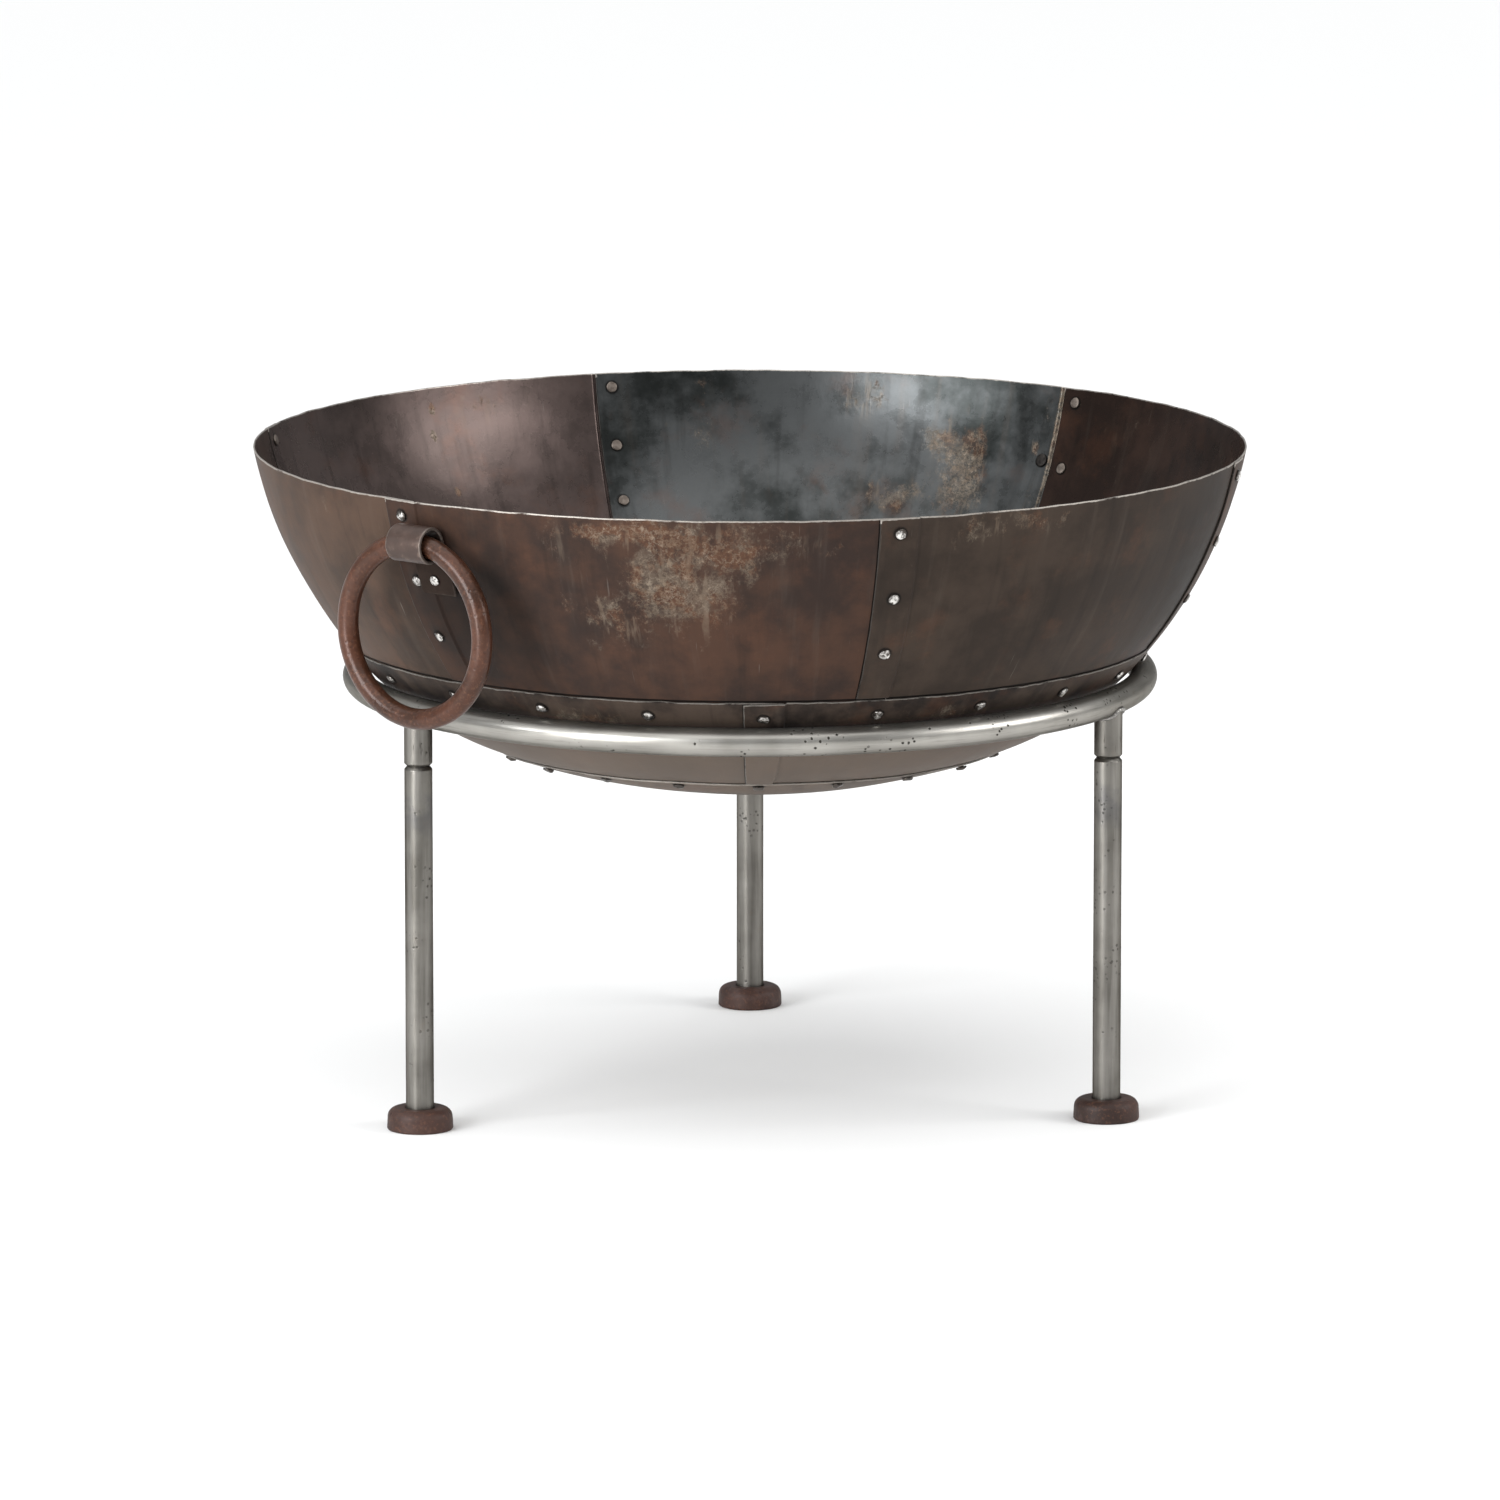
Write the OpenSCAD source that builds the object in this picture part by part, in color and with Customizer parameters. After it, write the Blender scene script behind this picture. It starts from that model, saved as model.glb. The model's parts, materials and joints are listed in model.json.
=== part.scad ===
// Riveted sheet-steel fire bowl that stands loose in a round-tube ring with three plug-in legs.
// Millimetres. The origin is on the bowl's axis at floor level: +Z is up and the front is -Y.
// An azimuth is measured round +Z from the front, positive towards +X.
// A turn is the angle of the bowl's wall from the vertical: it grows from the rim down to the bottom.

/* [Bowl] */
// Outer diameter of the rim
rim_d = 900; // [890:1:905]
// Height of the rim above the floor
rim_z = 592; // [590:1:600]
// Turn of the wall at the rim
rim_turn = 11.9; // [11:0.1:12.5]
// Outer arc radius of the upper course, down its wall
upper_arc_r = 415.6; // [412:0.1:420]
// Outer arc radius of the middle course, down its wall
middle_arc_r = 281.2; // [278:0.1:284]
// Inner sphere radius of the bottom dish
dish_r = 715; // [700:5:740]
// Outer radius at which the dish's edge lies on the middle course
dish_edge_r = 235; // [232:1:238]
// Thickness of the sheet steel
sheet_t = 1.6; // [1.2:0.1:1.8]

/* [Seams] */
// Number of panels in the upper course
upper_panels = 6; // [6:1:6]
// Azimuth of the upper course's first seam
upper_seam_az = 17; // [15:0.5:18]
// Number of sheets in the middle course
middle_sheets = 2; // [2:1:2]
// Azimuth of the middle course's first seam
middle_seam_az = 1.9; // [1:0.1:3]
// Width of the lap between the upper and the middle course
girth_lap = 38; // [34:1:42]
// Turn of the wall at that lap's rivets
girth_turn = 41.2; // [41:0.1:41.5]
// Turn of the wall at the dish's rivets
dish_lap_turn = 73; // [72.8:0.1:73.2]

/* [Rivets] */
// Radius of a rivet's head
head_r = 5.3; // [4.8:0.1:5.6]
// Height of a rivet's hammered outer head
head_h = 3.8; // [3.2:0.1:4]
// Radius of a rivet's shank
shank_r = 2.5; // [2:0.1:3]
// Number of rivets round the lap of the middle course
girth_rivets = 22; // [22:1:22]
// Number of rivets round the dish
dish_rivets_n = 20; // [20:1:20]

/* [Handles] */
// Azimuth of a handle past the seam that it stands beside
handle_offset_az = 3.4; // [3.4:0.1:3.8]
// Width of a handle strap
strap_w = 40; // [36:1:40]
// Thickness of a handle strap
strap_t = 3; // [2.8:0.1:3.2]
// Inner radius of the strap's loop
loop_in_r = 13.5; // [13.4:0.1:14]
// Turn of the wall where the strap's tail lies on it
strap_turn = 20.5; // [20:0.1:21]
// Centreline radius of a ring handle
handle_ring_r = 78; // [78:0.5:80]
// Radius of a ring handle's rod
handle_rod_r = 9.5; // [9:0.1:9.5]

/* [Stand] */
// Centreline radius of the stand's ring
stand_r = 357; // [355:0.1:358]
// Outer radius of the ring's, sockets' and legs' tube
tube_r = 12.7; // [12.5:0.1:12.8]
// Wall thickness of the ring's tube
ring_wall = 2; // [1.6:0.1:2.6]
// Radius of the spigot on top of each leg
spigot_r = 9.525; // [9.5:0.005:9.53]
// Radial clearance of a spigot in its socket
spigot_gap = 0.075; // [0.05:0.005:0.1]
// Length of spigot inside the socket
spigot_grip = 34; // [30:1:34]
// Height of the joint between a socket and its leg
shoulder_z = 331.3; // [329:0.1:333]

/* [Feet] */
// Radius of a foot
foot_r = 30; // [29:0.5:31]
// Height of a foot
foot_h = 19.7; // [19:0.1:21]

/* [Hidden] */
$fn = 180;

lap_gap = 0.2;           // air between two lapped sheets of one course
girth_gap = 0.5;         // air between the upper and the middle course at their rivets
fit_gap = 0.1;           // air round a shank in its hole
head_gap = 0.05;         // air under a rivet's heads
seat_gap = 0.3;          // air between the bowl's seam strips and the stand's ring
far = 1000;              // longer than any part of the bowl
rivet_fn = 32;

// Arc centres of the wall's section, as [radius, height]
upper_c = [rim_d / 2 - upper_arc_r * cos(rim_turn), rim_z + upper_arc_r * sin(rim_turn)];
girth_out = upper_arc_r + girth_gap + sheet_t - middle_arc_r;
middle_c = [upper_c[0] + girth_out * cos(girth_turn), upper_c[1] - girth_out * sin(girth_turn)];
dish_edge_turn = acos((dish_edge_r - middle_c[0]) / middle_arc_r);
dish_c = [0, middle_c[1] - middle_arc_r * sin(dish_edge_turn) - lap_gap + sqrt(pow(dish_r, 2) - pow(dish_edge_r, 2))];

// Turns at which the courses end
upper_end_turn = girth_turn + degrees_of(girth_lap / 2, upper_arc_r);
upper_strip_end_turn = girth_turn - degrees_of(girth_lap / 2 + 1.5, upper_arc_r);
middle_top_turn = girth_turn - degrees_of(girth_lap / 2, middle_arc_r);
middle_end_turn = dish_lap_turn + 2.5;
middle_strip_end_turn = dish_edge_turn - 1;

// Widths of a seam either side of its rivets, in degrees of azimuth
upper_seam_out = 2.4;    // to the outer sheet's edge
upper_seam_in = 1.9;     // to the inner sheet's edge
middle_seam_out = 2.8;
middle_seam_in = 2.7;
joggle_from = 0.15;      // from the inner sheet's edge to the step in the outer sheet
joggle_w = 0.35;         // width of that step

seam_rivet_z = [578, 518, 465];
back_seam = 3;           // the seam whose rivets were set closer together
back_seam_rivet_z = [578, 525, 476];
strap_seams = [2, 5];    // the seams that have a handle beside them
girth_step = 360 / girth_rivets;
dish_step = 360 / dish_rivets_n;
strap_step = 360 / upper_panels;

// Strap: its tail's inner face is the zero plane, and Z runs up the tail from where it lies on the wall
strap_seat = sheet_t + lap_gap + 0.15;
loop_up = 33;            // from the seat up the tail to the loop's axis
tail_down = 25;          // from the seat down to the tail's end
strap_rivet_down = 10;
loop_out_r = loop_in_r + strap_t;
handle_slack = 0.4;      // how far the ring's top sits above the loop's axis

// Ring height at which its tube just clears the middle course's seam strips
seat_reach = middle_arc_r + lap_gap + sheet_t + seat_gap + tube_r;
stand_z = middle_c[1] - sqrt(pow(seat_reach, 2) - pow(stand_r - middle_c[0], 2));

leg_azimuths = [180, 304, 64]; // the rear leg, then the front two, welded a little off even spacing
bore_r = spigot_r + spigot_gap;
socket_bevel = 2.2;      // both ways
leg_bevel_r = 2.5;
leg_bevel_h = 3;
shoulder_gap = 0.3;      // air between the socket's end and the leg's shoulder
cope_gap = 0.05;         // air between a socket's saddle and the ring
cope_below = 5;          // the saddle's tips end this far below the ring's centre
weld_size = 2.4;
foot_floor = 6;          // steel left under the leg tube
foot_round = 8.5;        // radius of the foot's top edge
foot_flare = 0.5;

sheet_colour = [0.22, 0.18, 0.17];
band_colour = [0.25, 0.24, 0.23];
rivet_colour = [0.5, 0.49, 0.48];
rust_colour = [0.33, 0.2, 0.17];
strap_colour = [0.3, 0.25, 0.23];
tube_colour = [0.55, 0.54, 0.52];

function degrees_of(length, radius) = length / radius * 180 / PI;
function upper_turn(z) = asin((upper_c[1] - z) / upper_arc_r);
function within(az, low, high) = (az - low) - 360 * floor((az - low) / 360) < high - low;
function has_strap(seam) = search(seam, strap_seams) != [];
function arc_points(centre, radius, from, to, steps) =
    [for (i = [0:steps]) centre + radius * [cos(from + (to - from) * i / steps), sin(from + (to - from) * i / steps)]];
function seam_az(seam) = upper_seam_az + strap_step * seam;
function rivet_rows_of(seam) = seam == back_seam ? back_seam_rivet_z : seam_rivet_z;

// Faces a part built along +X towards an azimuth
module at_azimuth(az) {
    rotate([0, 0, az - 90]) children();
}

// Puts +Z square to the wall, outwards, at a turn of an arc and an azimuth
module on_wall(centre, radius, turn, az) {
    at_azimuth(az)
        translate([centre[0] + radius * cos(turn), 0, centre[1] - radius * sin(turn)])
            rotate([0, 90 + turn, 0]) children();
}

// Section of a curved sheet between two turns, with square-cut edges
module sheet_section(centre, r_in, r_out, from_turn, to_turn) {
    translate(centre) intersection() {
        difference() {
            circle(r = r_out);
            circle(r = r_in);
        }
        polygon([[0, 0], far * [cos(from_turn), -sin(from_turn)], far * [cos(to_turn), -sin(to_turn)]]);
    }
}

// A sheet between two azimuths
module curved_sheet(centre, r_in, r_out, from_turn, to_turn, from_az, to_az) {
    at_azimuth(from_az)
        rotate_extrude(angle = to_az - from_az)
            sheet_section(centre, r_in, r_out, from_turn, to_turn);
}

// One sheet of a course: a thick band cut back to its body, the step at its first seam and the strip
// that laps over its neighbour
module lapped_sheet(centre, radius, from_turn, to_turn, strip_end_turn, seam, next_seam, lap_out, lap_in) {
    step_az = seam + lap_in + joggle_from;
    body_az = step_az + joggle_w;
    strip_az = seam - lap_out;
    end_az = next_seam + lap_in;
    r_in = radius - sheet_t;
    strip_out = radius + lap_gap + sheet_t;
    past = 1;            // how far a cut runs past the band, in millimetres or degrees
    difference() {
        curved_sheet(centre, r_in, strip_out, from_turn, to_turn, strip_az, end_az);
        // outside the body
        curved_sheet(centre, radius, strip_out + past, from_turn - past, to_turn + past, body_az, end_az + past);
        // inside the strip
        curved_sheet(centre, r_in - past, radius + lap_gap, from_turn - past, to_turn + past, strip_az - past, step_az);
        // below the strip
        curved_sheet(centre, r_in - 2 * past, strip_out + 2 * past, strip_end_turn, to_turn + 2 * past,
            strip_az - 2 * past, body_az + joggle_from);
    }
}

// Hole for a rivet's shank, through every sheet there
module shank_hole() {
    cylinder(r = shank_r + fit_gap, h = 24, center = true, $fn = rivet_fn);
}

// Rivet with its outer head's underside at Z = 0 and a flat inner head below the grip
module rivet(grip, inner_r = head_r) {
    inner_h = 1.5;
    bevel = 0.6;
    low = -grip - head_gap;
    rotate_extrude($fn = rivet_fn)
        polygon([
            [0, low - inner_h], [inner_r - bevel, low - inner_h], [inner_r, low - inner_h + bevel], [inner_r, low],
            [shank_r, low], [shank_r, head_gap], [head_r, head_gap], [head_r * 0.95, head_h * 0.45],
            [head_r * 0.72, head_h * 0.82], [head_r * 0.4, head_h], [0, head_h]
        ]);
}

module at_seam_rivets() {
    for (seam = [0:upper_panels - 1], z = rivet_rows_of(seam))
        on_wall(upper_c, upper_arc_r + lap_gap + sheet_t, upper_turn(z), seam_az(seam)) children();
}

// Strap frame: X out from the wall, Y along the rim, Z up the tail
module at_strap(seam) {
    on_wall(upper_c, upper_arc_r + strap_seat, strap_turn, seam_az(seam) + handle_offset_az)
        rotate([0, -90, 0]) children();
}

module at_strap_rivet(seam) {
    at_strap(seam) translate([strap_t, 0, -strap_rivet_down]) rotate([0, 90, 0]) children();
}

module upper_panel(index) {
    seam = seam_az(index);
    next_seam = seam_az(index + 1);
    low_az = seam - upper_seam_out;
    high_az = next_seam + upper_seam_in;
    color(sheet_colour) difference() {
        lapped_sheet(upper_c, upper_arc_r, rim_turn, upper_end_turn, upper_strip_end_turn,
            seam, next_seam, upper_seam_out, upper_seam_in);
        for (side = [index, index + 1], z = rivet_rows_of(side))
            on_wall(upper_c, upper_arc_r, upper_turn(z), seam_az(side)) shank_hole();
        if (has_strap(index)) at_strap_rivet(index) shank_hole();
        for (i = [0:girth_rivets - 1])
            if (within(middle_seam_az + girth_step * i, low_az, high_az))
                on_wall(upper_c, upper_arc_r, girth_turn, middle_seam_az + girth_step * i) shank_hole();
    }
}

module middle_band(index) {
    seam = middle_seam_az + 360 / middle_sheets * index;
    next_seam = seam + 360 / middle_sheets;
    low_az = seam - middle_seam_out;
    high_az = next_seam + middle_seam_in;
    color(band_colour) difference() {
        lapped_sheet(middle_c, middle_arc_r, middle_top_turn, middle_end_turn, middle_strip_end_turn,
            seam, next_seam, middle_seam_out, middle_seam_in);
        for (i = [0:girth_rivets - 1])
            if (within(middle_seam_az + girth_step * i, low_az, high_az))
                on_wall(middle_c, middle_arc_r, girth_turn, middle_seam_az + girth_step * i) shank_hole();
        for (i = [0:dish_rivets_n - 1])
            if (within(middle_seam_az + dish_step * i, low_az, high_az))
                on_wall(middle_c, middle_arc_r, dish_lap_turn, middle_seam_az + dish_step * i) shank_hole();
    }
}

module bottom_dish() {
    edge_turn = acos(dish_edge_r / dish_r);
    color(band_colour) difference() {
        rotate_extrude()
            sheet_section(dish_c, dish_r, dish_r + sheet_t, edge_turn, 90);
        for (i = [0:dish_rivets_n - 1])
            on_wall(middle_c, middle_arc_r, dish_lap_turn, middle_seam_az + dish_step * i) shank_hole();
    }
}

module seam_rivets() {
    color(rivet_colour) at_seam_rivets() rivet(2 * sheet_t + lap_gap);
}

// The rivets at the middle course's own seams pass through one more sheet
module girth_rivets() {
    two_sheets = 2 * sheet_t + girth_gap;
    color(rivet_colour) for (i = [0:girth_rivets - 1]) {
        extra = i % (girth_rivets / middle_sheets) == 0 ? sheet_t + lap_gap : 0;
        on_wall(middle_c, middle_arc_r + extra, girth_turn, middle_seam_az + girth_step * i) rivet(two_sheets + extra);
    }
}

module dish_rivets() {
    dish_stand_off = 0.7; // the dish curves away from the middle course at its rivets
    color(rivet_colour) for (i = [0:dish_rivets_n - 1])
        on_wall(middle_c, middle_arc_r + sheet_t + dish_stand_off, dish_lap_turn, middle_seam_az + dish_step * i)
            rivet(2 * sheet_t + dish_stand_off);
}

// Strap: a flat tail on the wall whose upper end curls out, over and back to it as a loop
module handle_strap(seam) {
    free_end_cut = 1.5;  // thickness of the gap between the loop's free end and the tail
    free_end_h = 16;
    color(strap_colour) at_strap(seam) difference() {
        union() {
            translate([loop_out_r, 0, loop_up]) rotate([90, 0, 0]) cylinder(r = loop_out_r, h = strap_w, center = true);
            translate([0, -strap_w / 2, -tail_down]) cube([strap_t, strap_w, tail_down + loop_up + 1]);
        }
        translate([loop_out_r, 0, loop_up]) rotate([90, 0, 0]) cylinder(r = loop_in_r, h = strap_w + 2, center = true);
        translate([strap_t, -strap_w / 2 - 1, loop_up - free_end_h]) cube([free_end_cut, strap_w + 2, free_end_h]);
        translate([0, 0, -strap_rivet_down]) rotate([0, 90, 0]) shank_hole();
    }
}

module strap_rivets() {
    stand_off = 0.75;    // the straight tail stands off the curved wall at its rivets
    grip = strap_t + strap_seat + sheet_t + stand_off;
    old_head_r = 6.4;
    color(rivet_colour) for (i = [0:1])
        at_strap_rivet(strap_seams[i]) rivet(grip, i == 0 ? old_head_r : head_r);
}

// Ring handle, hanging from the loop
module ring_handle(seam) {
    loop_x = upper_c[0] + (upper_arc_r + strap_seat + loop_out_r) * cos(strap_turn) + loop_up * sin(strap_turn);
    loop_z = upper_c[1] - (upper_arc_r + strap_seat + loop_out_r) * sin(strap_turn) + loop_up * cos(strap_turn);
    color(rust_colour) at_azimuth(seam_az(seam) + handle_offset_az)
        translate([loop_x, 0, loop_z + handle_slack - handle_ring_r]) rotate([0, 90, 0])
            rotate_extrude() translate([handle_ring_r, 0]) circle(r = handle_rod_r);
}

// Solid torus along the ring's centreline
module ring_torus(radius) {
    translate([0, 0, stand_z]) rotate_extrude() translate([stand_r, 0]) circle(r = radius);
}

module stand_ring() {
    color(tube_colour) translate([0, 0, stand_z]) rotate_extrude() translate([stand_r, 0]) difference() {
        circle(r = tube_r);
        circle(r = tube_r - ring_wall);
    }
}

// Short tube under the ring, coped to it at the top and bevelled at its mouth
module leg_socket(az) {
    color(tube_colour) difference() {
        at_azimuth(az) translate([stand_r, 0, 0]) rotate_extrude()
            polygon([
                [bore_r, shoulder_z], [tube_r - socket_bevel, shoulder_z], [tube_r, shoulder_z + socket_bevel],
                [tube_r, stand_z - cope_below], [bore_r, stand_z - cope_below]
            ]);
        ring_torus(tube_r + cope_gap);
    }
}

// Weld beads that fill the corner between each socket and the ring
module socket_welds() {
    bead_h = tube_r + weld_size;
    color(tube_colour) difference() {
        intersection() {
            ring_torus(tube_r + weld_size);
            for (az = leg_azimuths)
                at_azimuth(az) translate([stand_r, 0, stand_z - bead_h - 1])
                    cylinder(r = tube_r + weld_size, h = bead_h - cope_below);
        }
        ring_torus(tube_r + cope_gap);
        for (az = leg_azimuths)
            at_azimuth(az) translate([stand_r, 0, shoulder_z]) cylinder(r = tube_r + cope_gap, h = stand_z - shoulder_z);
    }
}

module leg_tube(az) {
    top = shoulder_z - shoulder_gap;
    bottom = foot_floor + cope_gap;
    color(tube_colour) at_azimuth(az) translate([stand_r, 0, 0]) rotate_extrude()
        polygon([
            [bore_r, bottom], [tube_r, bottom], [tube_r, top - leg_bevel_h],
            [tube_r - leg_bevel_r, top], [bore_r, top]
        ]);
}

// Solid plug fixed in the top of the leg's tube, with a bevelled end
module leg_spigot(az) {
    inside = 60;         // length held in the leg's tube
    bevel = 1.5;
    color(tube_colour) at_azimuth(az) translate([stand_r, 0, 0]) rotate_extrude()
        polygon([
            [0, shoulder_z - inside], [spigot_r, shoulder_z - inside], [spigot_r, shoulder_z + spigot_grip - bevel],
            [spigot_r - bevel, shoulder_z + spigot_grip], [0, shoulder_z + spigot_grip]
        ]);
}

// Puck foot with a blind hole for the leg's tube
module foot(az) {
    hole_r = tube_r + cope_gap;
    shoulder_r = foot_r - foot_flare - foot_round;
    color(rust_colour) at_azimuth(az) translate([stand_r, 0, 0]) rotate_extrude()
        polygon(concat(
            [[0, 0], [foot_r - 1, 0], [foot_r, 1]],
            arc_points([shoulder_r, foot_h - foot_round], foot_round, 0, 90, 8),
            [[hole_r, foot_h], [hole_r, foot_floor], [0, foot_floor]]
        ));
}

upper_panel(0);  // upper_panel_1
upper_panel(1);  // upper_panel_2
upper_panel(2);  // upper_panel_3
upper_panel(3);  // upper_panel_4
upper_panel(4);  // upper_panel_5
upper_panel(5);  // upper_panel_6
middle_band(0);  // middle_band_1
middle_band(1);  // middle_band_2
bottom_dish();
seam_rivets();
girth_rivets();
dish_rivets();
handle_strap(strap_seams[1]);  // handle_strap_1
handle_strap(strap_seams[0]);  // handle_strap_2
strap_rivets();
ring_handle(strap_seams[1]);  // ring_handle_1
ring_handle(strap_seams[0]);  // ring_handle_2
stand_ring();
leg_socket(leg_azimuths[0]);  // leg_socket_1
leg_socket(leg_azimuths[1]);  // leg_socket_2
leg_socket(leg_azimuths[2]);  // leg_socket_3
socket_welds();
leg_tube(leg_azimuths[0]);  // leg_tube_1
leg_tube(leg_azimuths[1]);  // leg_tube_2
leg_tube(leg_azimuths[2]);  // leg_tube_3
leg_spigot(leg_azimuths[0]);  // leg_spigot_1
leg_spigot(leg_azimuths[1]);  // leg_spigot_2
leg_spigot(leg_azimuths[2]);  // leg_spigot_3
foot(leg_azimuths[0]);  // foot_1
foot(leg_azimuths[1]);  // foot_2
foot(leg_azimuths[2]);  // foot_3
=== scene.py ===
"""Looks of the riveted fire bowl on its tripod ring stand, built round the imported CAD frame.

Metres throughout, in the CAD frame. An azimuth is measured round +Z from the front (-Y) towards +X.
A turn is the angle of the bowl's wall from the vertical: it grows from the rim down to the bottom.
"""
import json
import math
import random
from collections import namedtuple

import bmesh
import bpy
import numpy as np
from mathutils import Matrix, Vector, noise


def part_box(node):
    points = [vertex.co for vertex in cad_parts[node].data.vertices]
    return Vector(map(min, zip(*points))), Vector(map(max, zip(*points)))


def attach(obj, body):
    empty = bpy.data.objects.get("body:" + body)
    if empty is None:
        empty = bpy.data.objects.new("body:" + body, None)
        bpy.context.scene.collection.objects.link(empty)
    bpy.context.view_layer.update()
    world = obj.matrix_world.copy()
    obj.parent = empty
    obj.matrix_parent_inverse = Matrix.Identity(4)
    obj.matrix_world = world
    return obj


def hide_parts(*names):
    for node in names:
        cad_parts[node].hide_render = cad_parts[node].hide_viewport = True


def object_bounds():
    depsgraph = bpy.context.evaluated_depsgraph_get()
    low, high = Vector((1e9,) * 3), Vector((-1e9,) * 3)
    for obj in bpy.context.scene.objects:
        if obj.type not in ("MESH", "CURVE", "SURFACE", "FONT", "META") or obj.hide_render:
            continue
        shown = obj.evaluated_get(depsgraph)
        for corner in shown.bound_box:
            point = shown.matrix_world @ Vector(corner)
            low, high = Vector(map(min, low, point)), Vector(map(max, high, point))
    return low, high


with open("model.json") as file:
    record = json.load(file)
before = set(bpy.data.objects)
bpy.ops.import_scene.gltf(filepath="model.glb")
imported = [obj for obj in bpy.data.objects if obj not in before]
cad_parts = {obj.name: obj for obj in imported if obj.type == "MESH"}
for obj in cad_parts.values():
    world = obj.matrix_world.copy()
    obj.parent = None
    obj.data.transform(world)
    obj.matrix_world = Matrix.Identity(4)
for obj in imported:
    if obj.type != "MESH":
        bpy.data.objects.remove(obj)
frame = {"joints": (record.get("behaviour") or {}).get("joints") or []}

CAD_LOW, CAD_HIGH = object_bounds()
MM = 0.001

# ---- Sizes ----------------------------------------------------------------------------------

SHEET_T = 1.6 * MM
RIM_TURN = math.radians(11.9)
RIM_R = (CAD_HIGH.x - CAD_LOW.x) / 2
RIM_Z = CAD_HIGH.z - SHEET_T * math.sin(RIM_TURN)
UPPER_ARC_R = 415.6 * MM
MIDDLE_ARC_R = 281.2 * MM
DISH_ARC_R = 715 * MM
DISH_EDGE_R = 235 * MM
LAP_GAP = 0.2 * MM
GIRTH_GAP = 0.5 * MM
DISH_GAP = 0.7 * MM
GIRTH_LAP = 38 * MM
# Width of the painted shadow line along a lap, and how far its middle lies past the edge of the sheet on top
LAP_SHADOW = 1.5 * MM
LAP_SHADOW_UNDER = 0.4 * MM
# How far a cut edge is rubbed in, and over what width
EDGE_EASE = 0.32 * MM
EDGE_EASE_W = 0.55 * MM
# How far a sheet's sides wander, and how far from its sides, top and corners the wandering dies out
EDGE_LEAN = 0.9 * MM
LEAN_REACH = 12 * MM
SAG_REACH = 22 * MM
CORNER_REACH = 20 * MM
SHEET_GRID = 3.8 * MM
GIRTH_TURN = math.radians(41.2)
DISH_LAP_TURN = math.radians(73)
JOGGLE_FROM = math.radians(0.15)
JOGGLE_W = math.radians(0.35)

UPPER_SEAMS = [math.radians(17 + 60 * i) for i in range(7)]
MIDDLE_SEAMS = [math.radians(1.9 + 180 * i) for i in range(3)]

HEAD_R = 5.3 * MM
OLD_HEAD_R = 6.4 * MM
HEAD_H = 3.8 * MM
SHANK_R = 2.5 * MM
# The outer head's section, as shares of its radius and height, and the inner head's, as shares of its radius
# and millimetres below the sheet
DOME = [(1.0, 0.10), (0.995, 0.36), (0.95, 0.60), (0.87, 0.78), (0.73, 0.90), (0.54, 0.97), (0.32, 0.995),
        (0.12, 1.0)]
INNER_HEAD = [(0.35, 1.5), (0.72, 1.48), (0.90, 1.35), (0.99, 0.9), (1.0, 0.3), (0.98, 0.0)]
SEAM_RIVET_Z = [578 * MM, 518 * MM, 465 * MM]
BACK_SEAM = 3
BACK_SEAM_RIVET_Z = [578 * MM, 525 * MM, 476 * MM]
GIRTH_RIVETS = 22
DISH_RIVETS = 20

STRAP_PAST_SEAM = math.radians(3.4)
STRAP_AZIMUTHS = {1: UPPER_SEAMS[5] + STRAP_PAST_SEAM, 2: UPPER_SEAMS[2] + STRAP_PAST_SEAM}
STRAP_TURN = math.radians(20.5)
STRAP_SEAT = SHEET_T + LAP_GAP + 0.15 * MM
STRAP_W = 40 * MM
STRAP_T = 3 * MM
LOOP_R = 15 * MM
LOOP_UP = 33 * MM
LOOP_SWEEP = math.radians(318)
TAIL_DOWN = 25 * MM
STRAP_RIVET_DOWN = 10 * MM
ROD_R = 9.5 * MM

LEG_AZIMUTHS = {1: math.radians(180), 2: math.radians(304), 3: math.radians(64)}
LEG_LOW, LEG_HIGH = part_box("leg_tube_1")
STAND_R = (LEG_LOW.y + LEG_HIGH.y) / 2
TUBE_R = (LEG_HIGH.x - LEG_LOW.x) / 2
LEG_TOP = LEG_HIGH.z
LEG_BOTTOM = LEG_LOW.z
STAND_Z = (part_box("stand_ring")[0].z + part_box("stand_ring")[1].z) / 2
SOCKET_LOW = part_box("leg_socket_1")[0].z
SPIGOT_LOW, SPIGOT_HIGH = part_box("leg_spigot_1")
FOOT_R = (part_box("foot_1")[1].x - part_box("foot_1")[0].x) / 2
FOOT_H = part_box("foot_1")[1].z
FOOT_FLOOR = 6 * MM
FOOT_ROUND = 8.5 * MM
BORE_R = 9.6 * MM
SADDLE_BELOW = 5 * MM
BEAD_R = 1.9 * MM
AXIS_R = 0.4 * MM  # the small flat left at the axis of a turned piece

CAMERA_TARGET = Vector((0, 0, 0.3088))
CAMERA_DISTANCE = 10.8
CAMERA_PITCH = math.radians(10.27)
CAMERA_LENS = 285.1
LIGHTS_AIM_Z = 0.45


class Arc:
    """A course of the wall: the centre of its section's arc and its outer radius."""

    def __init__(self, r, z, radius):
        self.r, self.z, self.radius = r, z, radius

    def point(self, turn, azimuth, out=0.0):
        """A point, or an array of them, moved out along the wall's normal."""
        reach = self.radius + out
        r = self.r + reach * np.cos(turn)
        z = self.z - reach * np.sin(turn)
        return np.stack(np.broadcast_arrays(r * np.sin(azimuth), -r * np.cos(azimuth), z), axis=-1)

    def turn_at(self, z):
        return math.asin((self.z - z) / self.radius)


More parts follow.
